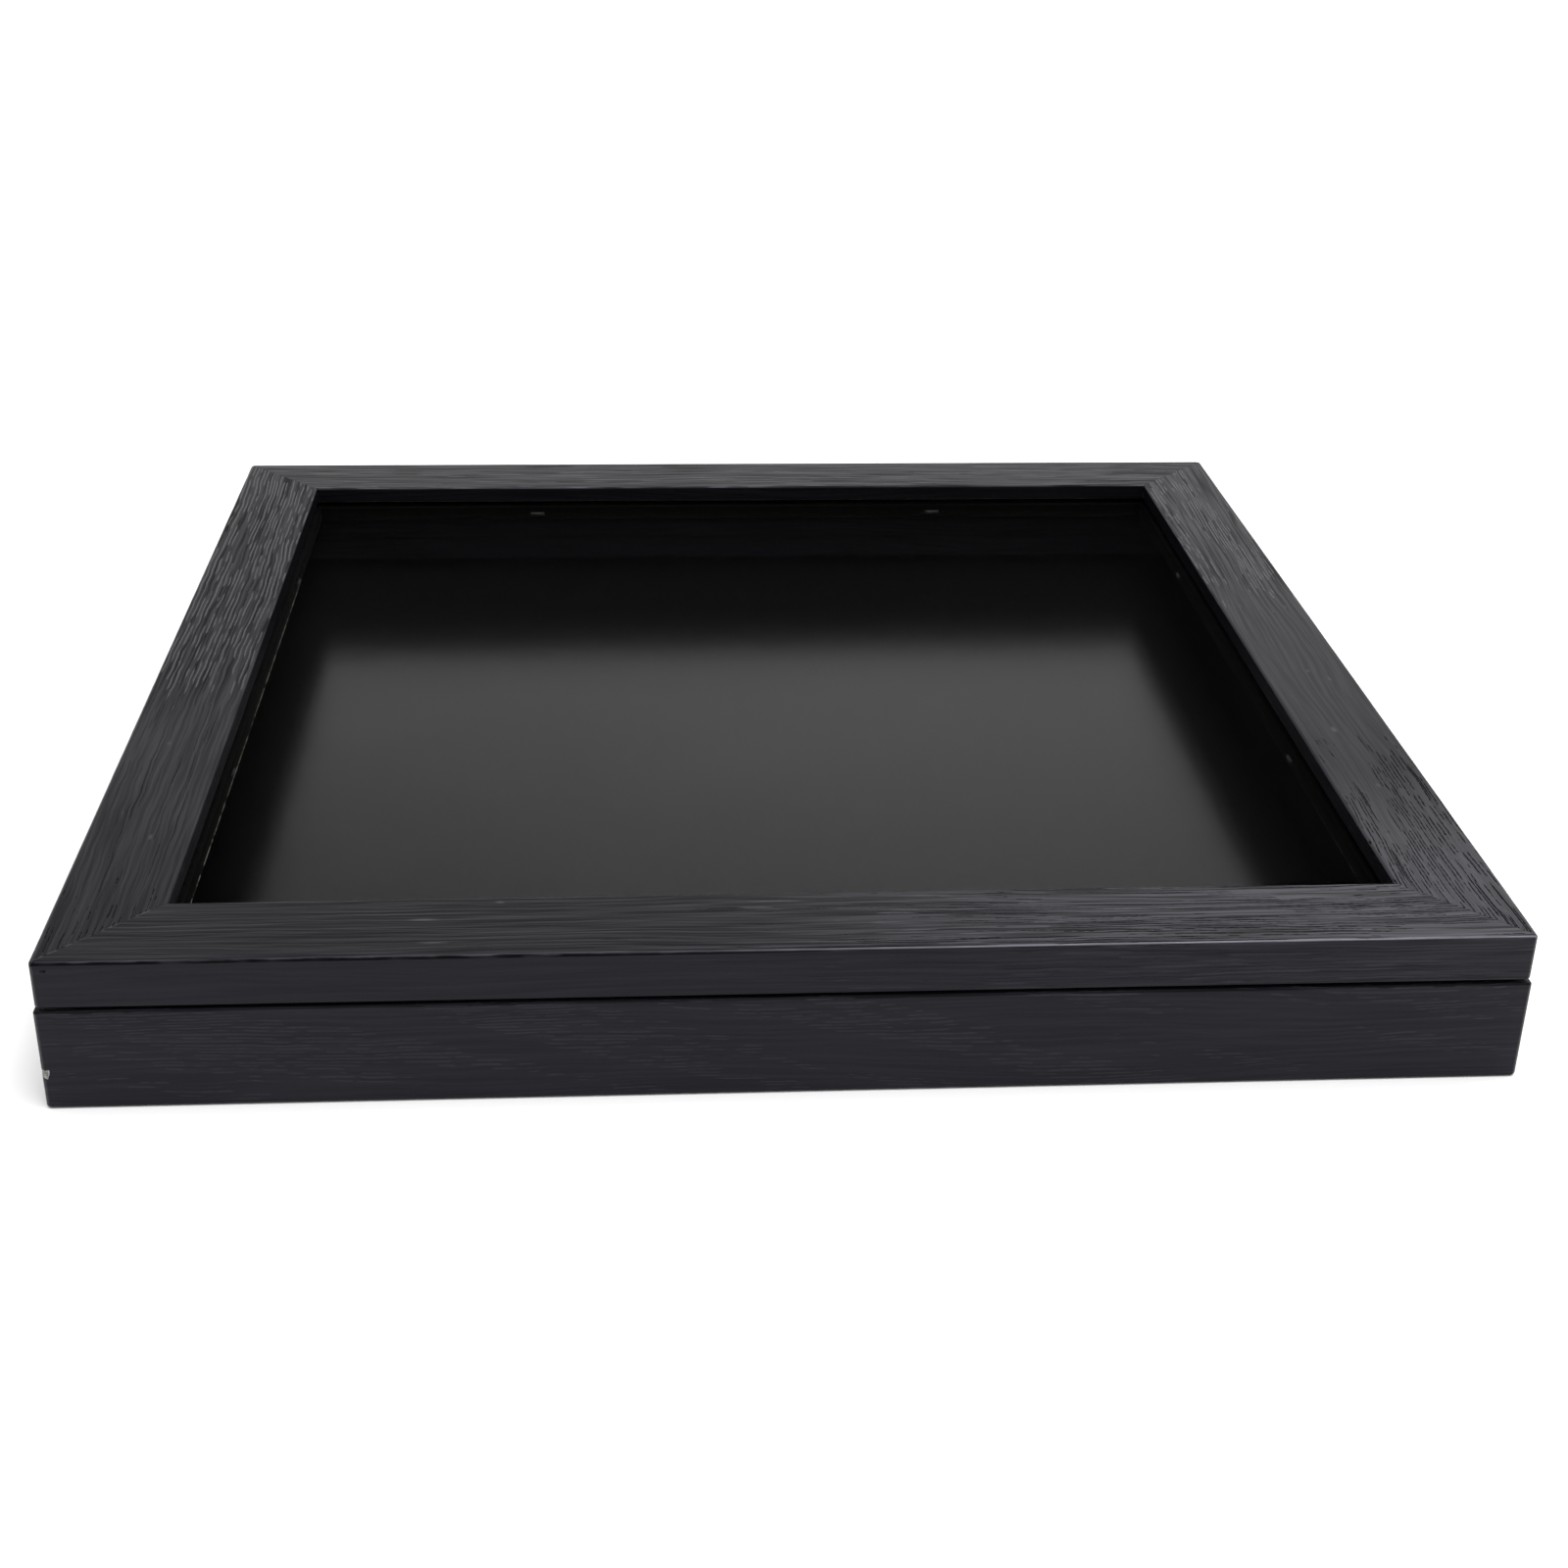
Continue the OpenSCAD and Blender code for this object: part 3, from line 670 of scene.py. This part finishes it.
doorProfile = barProfile(doorLow, doorHigh, moulding["doorArrises"], rebateSide, lipUnder)
boxProfile = barProfile(boxLow, boxHigh, moulding["boxArrises"], rimWidth, boardTop)
inDown, outDown, outUp = (0.7, -0.7), (-0.7, -0.7), (-0.7, 0.7)  # ways that the edges wear
outerEdge = ((0, doorHigh.z), inDown, moulding["doorArrises"][1])
sightEdge = ((doorHigh.y - doorLow.y, doorHigh.z), outDown, moulding["doorArrises"][2])
boxEdge = ((0, boxHigh.z), inDown, moulding["boxArrises"][1])
seats = {  # what is let into each bar
    "door_stile_left": ("hinge_door_leaf_front", "hinge_door_leaf_rear", "hinge_door_screws"),
    "door_stile_right": ("catch_strike_front", "catch_strike_rear", "catch_screws"),
    "box_wall_left": ("hinge_box_leaf_front", "hinge_box_leaf_rear", "hinge_box_screws"),
    "box_wall_right": ("catch_magnet_front", "catch_magnet_rear"),
}
barKinds = (  # with their outline, the edges that wear, the front one's box and what is driven in
    (doorBars, doorProfile, (outerEdge, sightEdge), doorLow, doorHigh, ("door_v_nails", "bead_staples")),
    (boxBars, boxProfile, (boxEdge,), boxLow, boxHigh, ("box_v_nails", "back_points")),
)
knocks = {  # small damage: where, its half sizes in mm, and what shows in it
    "chip": {
        "nodes": ("box_wall_front", "box_wall_left"),
        "at": (-180.0, -181.3, 9.8), "size": (2.3, 2.0, 1.8), "shows": tornFilm,
    },
    "nailHole": {
        "nodes": ("door_rail_front",),
        "at": (-176.6, -180.1, 37.9), "size": (0.8, 0.5, 0.55), "shows": waxFiller,
    },
}
knockRough = 0.6  # share of the size
knockLumps = 1.7  # across it
nickParts = (-1, -0.5, 0, 0.5, 1)  # sections in each nick, as shares of half its length


def knockCutter(knock, materials):
    shape = bmesh.new()
    bmesh.ops.create_icosphere(shape, subdivisions=2, radius=1.0)
    for vert in shape.verts:
        lump = 1 + knockRough * noise.noise(vert.co * knockLumps)
        spot = [at + half * part * lump for at, half, part in zip(knock["at"], knock["size"], vert.co)]
        vert.co = Vector(spot) * mm
    return addCutter(shape, materials)


for bars, profile, edges, low, high, nails in barKinds:
    for name, ownValues in bars.items():
        bar = {**bareBar, **ownValues}
        side = sideTurns[name.split("_")[-1]]
        finishName = "black oak foil " + name.replace("_", " ")
        finish = blackOakFoil(finishName, side, -low.y, high.z, high.y - low.y, bar)
        wear = edgeWear(bar["seed"], edges, moulding["wearRipple"], bar["nicks"])
        extra = [at + part * length / 2 for at, length, depth in bar["nicks"] for part in nickParts]
        shape = loftBar(
            profile, -low.y, side, moulding["step"], moulding["ease"], wear, extra, moulding["cornerRound"])
        hits = [knock for knock in knocks.values() if name in knock["nodes"]]
        finishes = (finish, rawMdf, *[knock["shows"] for knock in hits])
        piece = addPiece("moulded", shape, finishes, name)
        cutters = [seatCutter(node, moulding["seatPlay"], (finish, rawMdf)) for node in seats.get(name, ())]
        cutters += [seatCutter(node, moulding["kerfPlay"], (finish, rawMdf)) for node in nails]
        cutters += [knockCutter(knock, finishes) for knock in hits]
        cutAway(piece, cutters)
print("mouldings made:", len(doorBars) + len(boxBars))

# Black paper on greyboard, calendered: satin, with short fibres that show as a faint speckle
paper = {
    "dark": "#030303", "light": "#070707", "roughness": 0.22, "ior": 1.5, "specular": (0.32, 0.2),
    "dullTowards": (1.0, -0.6, 0.0), "dullBy": 170.0,  # handled more towards the near right, mm
    "speckle": 0.9, "speckleDepth": 0.02, "cockle": 90.0, "cockleDepth": 0.25,
    "mottle": 2.4, "mottleBy": (0.86, 1.14),
}
blackPaper, add = newMaterial("black paper on board")
place = add("TexCoord").outputs["Object"]
speckle = add("TexNoise", {"Vector": place, "Scale": 1 / (paper["speckle"] * mm)})
cockle = add("TexNoise", {"Vector": place, "Scale": 1 / (paper["cockle"] * mm)})
speckleMix = add("MapRange", (speckle, *noiseSpan))
tone = add("Mix", (speckleMix, paper["dark"], paper["light"]), "RGBA")
wave = add("Bump", {"Height": cockle, "Distance": paper["cockleDepth"] * mm})
bump = add("Bump", {"Height": speckle, "Distance": paper["speckleDepth"] * mm, "Normal": wave})
handled = add("VectorMath", (place, paper["dullTowards"]), "DOT_PRODUCT")
gloss = add("MapRange", (handled, 0.0, paper["dullBy"] * mm, *paper["specular"]))
mottle = add("TexNoise", {"Vector": place, "Scale": 1 / (paper["mottle"] * mm), "Detail": 3.0})
mottled = add("MapRange", (mottle, *noiseSpan, *paper["mottleBy"]))
uneven = add("Math", (gloss, mottled), "MULTIPLY")
shader = add("BsdfPrincipled", {
    "Base Color": tone, "Roughness": paper["roughness"], "IOR": paper["ior"],
    "Specular IOR Level": uneven, "Normal": bump})
add("OutputMaterial", (shader,))

# Clear acrylic with an anti-reflective coat: hardly a mirror at all, except at very low angles
acrylic = {"tint": "#fdfdfd", "headOn": 0.0011, "grazing": 0.8, "lowOnly": 20.0, "roughness": 0.02}
clearAcrylic, add = newMaterial("clear coated acrylic")
facing = add("LayerWeight", {"Blend": 0.5})
steep = add("Math", (facing.outputs["Facing"], acrylic["lowOnly"]), "POWER")
mirror = add("Math", (steep, acrylic["grazing"], acrylic["headOn"]), "MULTIPLY_ADD")
through = add("BsdfTransparent", {"Color": acrylic["tint"]})
gloss = add("BsdfGlossy", {"Color": (1, 1, 1, 1), "Roughness": acrylic["roughness"]})
add("OutputMaterial", (add("MixShader", (mirror, through, gloss)),))

# Black painted wood strip: thin dull paint over sawn wood, rubbed through to the wood along the lower edge
bead = {
    "paint": "#060606", "thin": "#0b0a09", "wood": "#b7ae9f", "roughness": 0.8, "specular": 0.03,
    "grainLength": 30.0, "grainWidth": 0.9, "grainDepth": 0.05,  # mm
    "rubWidth": (1.2, 0.72),  # where it ends and is full
    "rubUnder": 3.0,  # how much less far it reaches underneath
    "rubLength": 1.7,  # mm between rubbed spots
    "rubLevels": (0.42, 0.58),
    "step": 4.0, "ease": 0.05, "arris": 0.5, "ripple": 0.2, "kerfPlay": 0.03,
}
beadBars = {  # rubbed: begins and is full along the strip, in mm, and its share
    "glazing_bead_front": {"seed": 7.0, "rubbed": (*allAlong, 0.0)},
    "glazing_bead_right": {"seed": 19.0, "rubbed": (-60, -110, 0.08)},
    "glazing_bead_rear": {"seed": 31.0, "rubbed": (*allAlong, 0.0)},
    "glazing_bead_left": {"seed": 43.0, "rubbed": (92, 84, 0.8)},
}
low, high = boxInMm("glazing_bead_front")
inner = high.y - doorLow.y
beadProfile = roundProfile((
    (rebateSide, low.z, 0, 0), (rebateSide, high.z, 0, 0),
    (inner, high.z, 0, 0), (inner, low.z, bead["arris"], 0)))
beadEdges = (((inner, low.z), outUp, bead["arris"]),)
for name, bar in beadBars.items():
    side = sideTurns[name.split("_")[-1]]
    finish, add = newMaterial("black painted wood " + name.replace("_", " "))
    size = placeInMm(add)
    u = add("VectorMath", (size, side["along"]), "DOT_PRODUCT")
    reach = bead["rubUnder"] * Vector(side["inward"]) - up
    across = add("VectorMath", (size, reach), "DOT_PRODUCT")
    fromEdge = add("Math", (bead["rubUnder"] * high.y - low.z, across), "SUBTRACT")
    grainPlace = add("CombineXYZ", (u, fromEdge, bar["seed"]))
    grain = grainNoise(add, grainPlace, (1 / bead["grainLength"], 1 / bead["grainWidth"], 1.0), 3.0)
    tone = add("Mix", (grain, bead["paint"], bead["thin"]), "RGBA")
    spots = add("TexNoise", {"Vector": grainPlace, "Scale": 1 / bead["rubLength"], "Detail": 2.0})
    spotCut = add("MapRange", (spots, *bead["rubLevels"]))
    nearEdge = add("MapRange", (fromEdge, *bead["rubWidth"]))
    begin, full, share = bar["rubbed"]
    stretch = add("MapRange", (u, begin, full, 0.0, share))
    spotEdge = add("Math", (spotCut, nearEdge), "MULTIPLY")
    rub = add("Math", (spotEdge, stretch), "MULTIPLY")
    colour = add("Mix", (rub, tone, bead["wood"]), "RGBA")
    bump = add("Bump", {"Height": grain, "Distance": bead["grainDepth"] * mm})
    shader = add("BsdfPrincipled", {
        "Base Color": colour, "Roughness": bead["roughness"], "Specular IOR Level": bead["specular"],
        "Normal": bump})
    add("OutputMaterial", (shader,))

    wear = edgeWear(bar["seed"], beadEdges, bead["ripple"], ())
    shape = loftBar(beadProfile, -doorLow.y, side, bead["step"], bead["ease"], wear)
    piece = addPiece("painted", shape, (finish, finish), name)
    cutAway(piece, [seatCutter("bead_staples", bead["kerfPlay"], (finish, finish))])
print("beads made:", len(beadBars))


# metal in two tones, one of them duller, that shows how it was rolled or brushed
def workedMetal(name, look):
    material, add = newMaterial(name)
    size = placeInMm(add)
    if "spangle" in look:
        cells = add("TexVoronoi", {"Vector": size, "Scale": 1 / look["spangle"]})
        spread = add("SeparateColor", (cells.outputs["Color"],))
    else:
        smudge = add("TexNoise", {"Vector": size, "Scale": 1 / look["smudge"], "Detail": 4.0})
        spread = add("MapRange", (smudge, *narrowSpan))
    scratch = grainNoise(add, size, [1 / length for length in look["scratch"]], 2.0)
    tone = add("Mix", (spread, look["dark"], look["pale"]), "RGBA")
    dull = add("MapRange", (spread, 0.0, 1.0, *look["roughness"]))
    bump = add("Bump", {"Height": scratch, "Distance": look["depth"] * mm})
    shader = add("BsdfPrincipled", {"Base Color": tone, "Metallic": 1.0, "Roughness": dull, "Normal": bump})
    add("OutputMaterial", (shader,))
    return material


# Galvanised steel, rolled: pale zinc with a faint spangle, dull grey and finely scratched
zinc = {
    "pale": "#b4b7ba", "dark": "#8f9295", "spangle": 3.5, "roughness": (0.38, 0.54),
    "scratch": (9.0, 0.25, 0.25), "depth": 0.004,
}
zincSteel = workedMetal("galvanised steel strip", zinc)
# Nickel plate, barrel plated on pressed steel: warm pale grey, satin, with smudges and rubbed spots
nickel = {
    "pale": "#c8c1b4", "dark": "#9f978a", "smudge": 6.0, "roughness": (0.44, 0.24),
    "scratch": (0.2, 5.0, 0.2), "depth": 0.003,
}
nickelPlate = workedMetal("nickel plated steel", nickel)
# Nickel plate on sintered magnets: cooler, bright and nearly a mirror
brightNickel = {
    "pale": "#c9c9cb", "dark": "#b0b0b2", "smudge": 3.0, "roughness": (0.24, 0.12),
    "scratch": (0.3, 2.0, 0.3), "depth": 0.001,
}
magnetPlate = workedMetal("bright nickel on magnets", brightNickel)

# Hardboard, pressed: brown matted fibres with darker flecks, smooth and slightly shiny
hardboard = {
    "pale": "#7a5230", "dark": "#543519", "fleck": "#2e1c0d", "roughness": 0.5, "depth": 0.03,
    "fibreLength": 4.0, "fibreWidth": 0.8, "fibreRoughness": 0.6,
    "swirl": 15, "swirlBy": 12.0,  # mm that the fibres turn over, and by
    "fleckSize": 2.2, "fleckLevels": (0.66, 0.72), "fleckShare": 0.7,
}
brownBoard, add = newMaterial("pressed brown hardboard")
size = placeInMm(add)
swirl = add("TexNoise", {"Vector": size, "Scale": 1 / hardboard["swirl"], "Detail": 2.0})
turned = add("VectorMath", (swirl.outputs["Color"], hardboard["swirlBy"]), "SCALE")
matted = add("VectorMath", (size, turned), "ADD")
fibre = grainNoise(add, matted, (1 / hardboard["fibreLength"], 1 / hardboard["fibreWidth"], 1.0), 4.0)
fibre.inputs["Roughness"].default_value = hardboard["fibreRoughness"]
spread = add("MapRange", (fibre, *noiseSpan))
tone = add("Mix", (spread, hardboard["dark"], hardboard["pale"]), "RGBA")
flecks = add("TexNoise", {"Vector": size, "Scale": 1 / hardboard["fleckSize"], "Detail": 1.0})
fleckCut = add("MapRange", (flecks, *hardboard["fleckLevels"], 0.0, hardboard["fleckShare"]))
colour = add("Mix", (fleckCut, tone, hardboard["fleck"]), "RGBA")
bump = add("Bump", {"Height": fibre, "Distance": hardboard["depth"] * mm})
shader = add("BsdfPrincipled", {"Base Color": colour, "Roughness": hardboard["roughness"], "Normal": bump})
add("OutputMaterial", (shader,))
dress("back_panel", brownBoard)


# adds a turned solid to a shape: (radius, height) pairs from end to end, in mm, spun about an axis;
# thread gives the extra radius at a height and a turn, and a ring is joined end to end
def addTurned(shape, outline, centre, axis, count=32, thread=None, ring=False):
    axis = Vector(axis)
    across = axis.orthogonal().normalized()
    aside = axis.cross(across)
    rows = []
    for radius, height in outline:
        row = []
        for k in range(count if radius else 1):
            turn = math.tau * k / count
            reach = radius + (thread(height, k / count) if thread else 0)
            spoke = (across * math.cos(turn) + aside * math.sin(turn)) * reach
            row.append(shape.verts.new((Vector(centre) + axis * height + spoke) * mm))
        rows.append(row)
    for low, high in zip(rows, rows[1:] + rows[:1] if ring else rows[1:]):
        addBand(shape, low, high)


# countersunk screws with a cross recess; way is 1 where the head looks up and -1 where it looks down
screw = {
    "sides": 24,
    "headDeep": 0.85,  # mm
    "headEdge": (0.12, 0.1),  # in and down
    "core": 0.62,
    "neck": 0.1,  # wider than the core
    "threadHigh": 0.2, "pitch": 0.9, "perPitch": 4,  # sections
    "plain": 0.7, "tip": 1.4, "tipPart": (0.6, 0.5),  # shares of the core and of the tip's length
    "recessReach": 0.95, "recessHalf": 0.22, "recessOver": 0.2, "recessDeep": 0.75, "recessTaper": 0.45,
    "turns": (0.4, 1.9),  # radians, how the first is turned and each one after it
}


def screwThread(height, turn):
    deep = -height
    if deep < screw["headDeep"] + screw["plain"]:
        return 0.0
    wave = (deep / screw["pitch"] + turn) % 1.0
    return screw["threadHigh"] * max(0.0, 1 - abs(wave - 0.5) * 4)


def addScrews(node, way, finish):
    shape = bmesh.new()
    recess = bmesh.new()
    reach, width = screw["recessReach"], screw["recessHalf"]
    arm = [(width, width), (width, reach), (-width, reach)]
    cross = []
    for quarter in range(4):
        cross += arm
        arm = [(-y, x) for x, y in arm]
    core, perPitch = screw["core"], screw["perPitch"]
    edgeIn, edgeDown = screw["headEdge"]
    tipWide, tipLong = screw["tipPart"]
    firstTurn, nextTurn = screw["turns"]
    for order, (low, high) in enumerate(solidBoxes(node)):
        centre = (low + high) / 2
        centre.z = high.z if way > 0 else low.z
        head = (high.x - low.x) / 2
        length = high.z - low.z
        outline = [(0, 0), (head - edgeIn, 0), (head, -edgeDown), (core + screw["neck"], -screw["headDeep"])]
        first = screw["headDeep"] + screw["plain"]
        steps = int((length - first - screw["tip"]) / screw["pitch"] * perPitch)
        outline += [(core, -first - screw["pitch"] * k / perPitch) for k in range(steps + 1)]
        outline += [(core * tipWide, -length + screw["tip"] * tipLong), (0, -length)]
        addTurned(shape, outline, centre, (0, 0, way), screw["sides"], screwThread)
        turn = Quaternion(up, firstTurn + nextTurn * order)
        rings = []
        for deep, size in ((-screw["recessOver"], 1.0), (screw["recessDeep"], screw["recessTaper"])):
            spots = [turn @ Vector((x * size, y * size, 0)) for x, y in cross]
            rings.append([recess.verts.new((centre + spot - up * (deep * way)) * mm) for spot in spots])
        addBand(recess, *rings)
        recess.faces.new(rings[0])
        recess.faces.new(rings[1])
    piece = addPiece("turned", shape, (finish,), node)
    cutAway(piece, [addCutter(recess, (finish,))])


addScrews("hinge_box_screws", 1, nickelPlate)
addScrews("hinge_door_screws", -1, nickelPlate)
addScrews("catch_screws", -1, zincSteel)


# middle of a box, at a height
def middleAt(low, high, height):
    return (low.x + high.x) / 2, (low.y + high.y) / 2, height


# hinge pins with a domed head at each end
pinHead = 0.5  # mm wider than the shank all round
domeTurns = quarterTurns(6)
ends = ("front", "rear")
for end in ends:
    low, high = boxInMm("hinge_pin_" + end)
    leafLow, leafHigh = boxInMm("hinge_box_leaf_" + end)
    headHigh = (high.y - low.y - leafHigh.y + leafLow.y) / 2
    headRadius = (high.z - low.z) / 2
    half = (high.y - low.y) / 2
    inside = half - headHigh
    dome = [(headRadius * math.cos(turn), inside + headHigh * math.sin(turn)) for turn in domeTurns[:-1]]
    outline = [(headRadius - pinHead, inside)] + dome + [(0, half)]
    shape = bmesh.new()
    mirrored = [(radius, -height) for radius, height in reversed(outline)]
    addTurned(shape, mirrored + outline, (low + high) / 2, (0, 1, 0))
    addPiece("turned", shape, (nickelPlate,), "hinge_pin_" + end)

# disc magnets with rounded rims, and dished steel strikes with a countersunk hole
disc = {
    "sides": 48,
    "rim": 0.3, "dishWidth": 1.1, "dishSlope": 0.2, "dishDeep": 0.12,  # mm
    "holeWide": 1.72, "holeNarrow": 0.8, "holeEdge": 0.1, "strikeEdge": 0.15,
}
rimTurns = quarterTurns(4)


# radius, depth and rounded rim of a disc, and a new shape for it
def newDisc(low, high):
    radius, rim = (high.x - low.x) / 2, disc["rim"]
    arc = [(radius - rim + rim * math.sin(turn), -rim + rim * math.cos(turn)) for turn in rimTurns]
    return radius, high.z - low.z, arc, bmesh.new()


for end in ends:
    low, high = boxInMm("catch_magnet_" + end)
    radius, deep, arc, shape = newDisc(low, high)
    hollow, dip, rim = radius - disc["dishWidth"], disc["dishDeep"], disc["rim"]
    outline = [(0, -dip), (hollow, -dip), (hollow + disc["dishSlope"], 0)] + arc
    outline += [(radius, -deep + rim), (radius - rim, -deep), (0, -deep)]
    addTurned(shape, outline, middleAt(low, high, high.z), up, disc["sides"])
    addPiece("plated", shape, (magnetPlate,), "catch_magnet_" + end)

    low, high = boxInMm("catch_strike_" + end)
    radius, deep, arc, shape = newDisc(low, high)
    narrow, edge = disc["holeNarrow"], disc["strikeEdge"]
    outline = [(narrow, -deep), (narrow, -deep + disc["holeEdge"]), (disc["holeWide"], 0)] + arc
    outline += [(radius, -deep + edge), (radius - edge, -deep)]
    addTurned(shape, outline, middleAt(low, high, low.z), -up, disc["sides"], ring=True)
    addPiece("pressed", shape, (zincSteel,), "catch_strike_" + end)

# rivets with a domed head behind and a flush end in the panel
rivet = {
    "shank": 0.62, "under": 0.98,  # shares of the head's radius
    "rise": 0.75, "edge": 0.05, "ease": 0.1,  # mm
}
shape = bmesh.new()
for low, high in solidBoxes("hanger_rivets"):
    radius = (high.x - low.x) / 2
    shank, length, rise = radius * rivet["shank"], high.z - low.z, rivet["rise"]
    dome = [(radius * math.sin(turn), rise * (1 - math.cos(turn))) for turn in domeTurns]
    outline = dome + [(radius * rivet["under"], rise + rivet["edge"]), (shank, rise + rivet["edge"])]
    outline += [(shank, length - rivet["ease"]), (shank - rivet["ease"], length), (0, length)]
    addTurned(shape, outline, middleAt(low, high, low.z), up)
addPiece("domed", shape, (zincSteel,), "hanger_rivets")

# Staple wire, galvanised and lacquered: grey, dull, with a darker scale where it was bent
wire = {
    "pale": "#454443", "dark": "#1e1d1c", "grain": 1.2, "detail": 3.0, "span": narrowSpan, "depth": 0.02,
    "surface": {"Metallic": 1.0, "Roughness": 0.5},
}
stapleWire = mottledFinish("lacquered staple wire", wire)
# staples: one flat wire each, bent twice, with its crown on the strip and its legs in the wood
staple = {"bend": 0.55, "steps": 5, "soft": 0.16, "point": 1.2, "tip": 0.35}  # mm, the tip as a share
beadFront = -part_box("glazing_bead_front")[1].y / mm
shape = bmesh.new()
for low, high in solidBoxes("bead_staples"):
    centre = (low + high) / 2
    lies = 0 if abs(centre.y) > abs(centre.x) else 1  # axis of the crown
    outwards = Vector((0, 0, 0))
    outwards[1 - lies] = math.copysign(1, centre[1 - lies])
    sideways = Vector((0, 0, 0))
    sideways[lies] = 1
    wireHigh = high.z - low.z
    legLength = high[1 - lies] - low[1 - lies]
    crown = centre - outwards * legLength / 2
    wireDeep = beadFront - abs(crown[1 - lies])
    halfSpan = (high[lies] - low[lies]) / 2 - wireDeep / 2
    bend = staple["bend"]
    route = [(-halfSpan, legLength), (-halfSpan, legLength - staple["point"])]
    arc = [(math.sin(turn), math.cos(turn)) for turn in quarterTurns(staple["steps"])]
    route += [(-halfSpan + bend * (1 - c), wireDeep / 2 + bend * (1 - s)) for s, c in arc]
    route += [(-x, y) for x, y in reversed(route)]
    spots = [Vector(spot) for spot in route]
    rows = []
    for i, spot in enumerate(spots):
        ahead = (spots[min(i + 1, len(spots) - 1)] - spots[max(i - 1, 0)]).normalized()
        beside = Vector((-ahead.y, ahead.x))
        size = staple["tip"] if i in (0, len(spots) - 1) else 1.0
        a, b, soft = wireDeep / 2 * size, wireHigh / 2 * size, staple["soft"] * size
        ring = [(a, b - soft), (a - soft, b), (soft - a, b), (-a, b - soft)]
        ring += [(-x, -y) for x, y in ring]
        row = []
        for out, rise in ring:
            flat = spot + beside * out
            place = crown + sideways * flat.x + outwards * flat.y + up * rise
            row.append(shape.verts.new(place * mm))
        rows.append(row)
    for first, second in zip(rows, rows[1:]):
        addBand(shape, first, second)
    shape.faces.new(rows[0])
    shape.faces.new(rows[-1])
addPiece("bent", shape, (stapleWire,), "bead_staples")
print("screws, pins, magnets, strikes, rivets and staples made")

# pressed and cut parts keep their CAD shape, with their edges eased
leaves = [leaf + end for leaf in ("hinge_box_leaf_", "hinge_door_leaf_") for end in ends]
eased = {  # finish, and mm off the edges
    **dict.fromkeys(leaves, (nickelPlate, 0.1)),
    "hanger_left": (zincSteel, 0.1), "hanger_right": (zincSteel, 0.1), "back_points": (zincSteel, 0.08),
    "box_v_nails": (zincSteel, 0.05), "door_v_nails": (zincSteel, 0.05),
    "display_board": (blackPaper, 0.15), "glazing_sheet": (clearAcrylic, 0.1),
}
easeFrom = 60  # degrees
for name, (finish, width) in eased.items():
    dress(name, finish)
    weld = nodes[name].modifiers.new("weld", "WELD")
    weld.merge_threshold = weldGap
    ease = nodes[name].modifiers.new("ease", "BEVEL")
    ease.width = width * mm
    ease.segments = 2
    ease.limit_method = "ANGLE"
    ease.angle_limit = math.radians(easeFrom)
    ease.harden_normals = True  # so that the flat faces stay flat in the shading
print("hardware dressed:", len(eased))
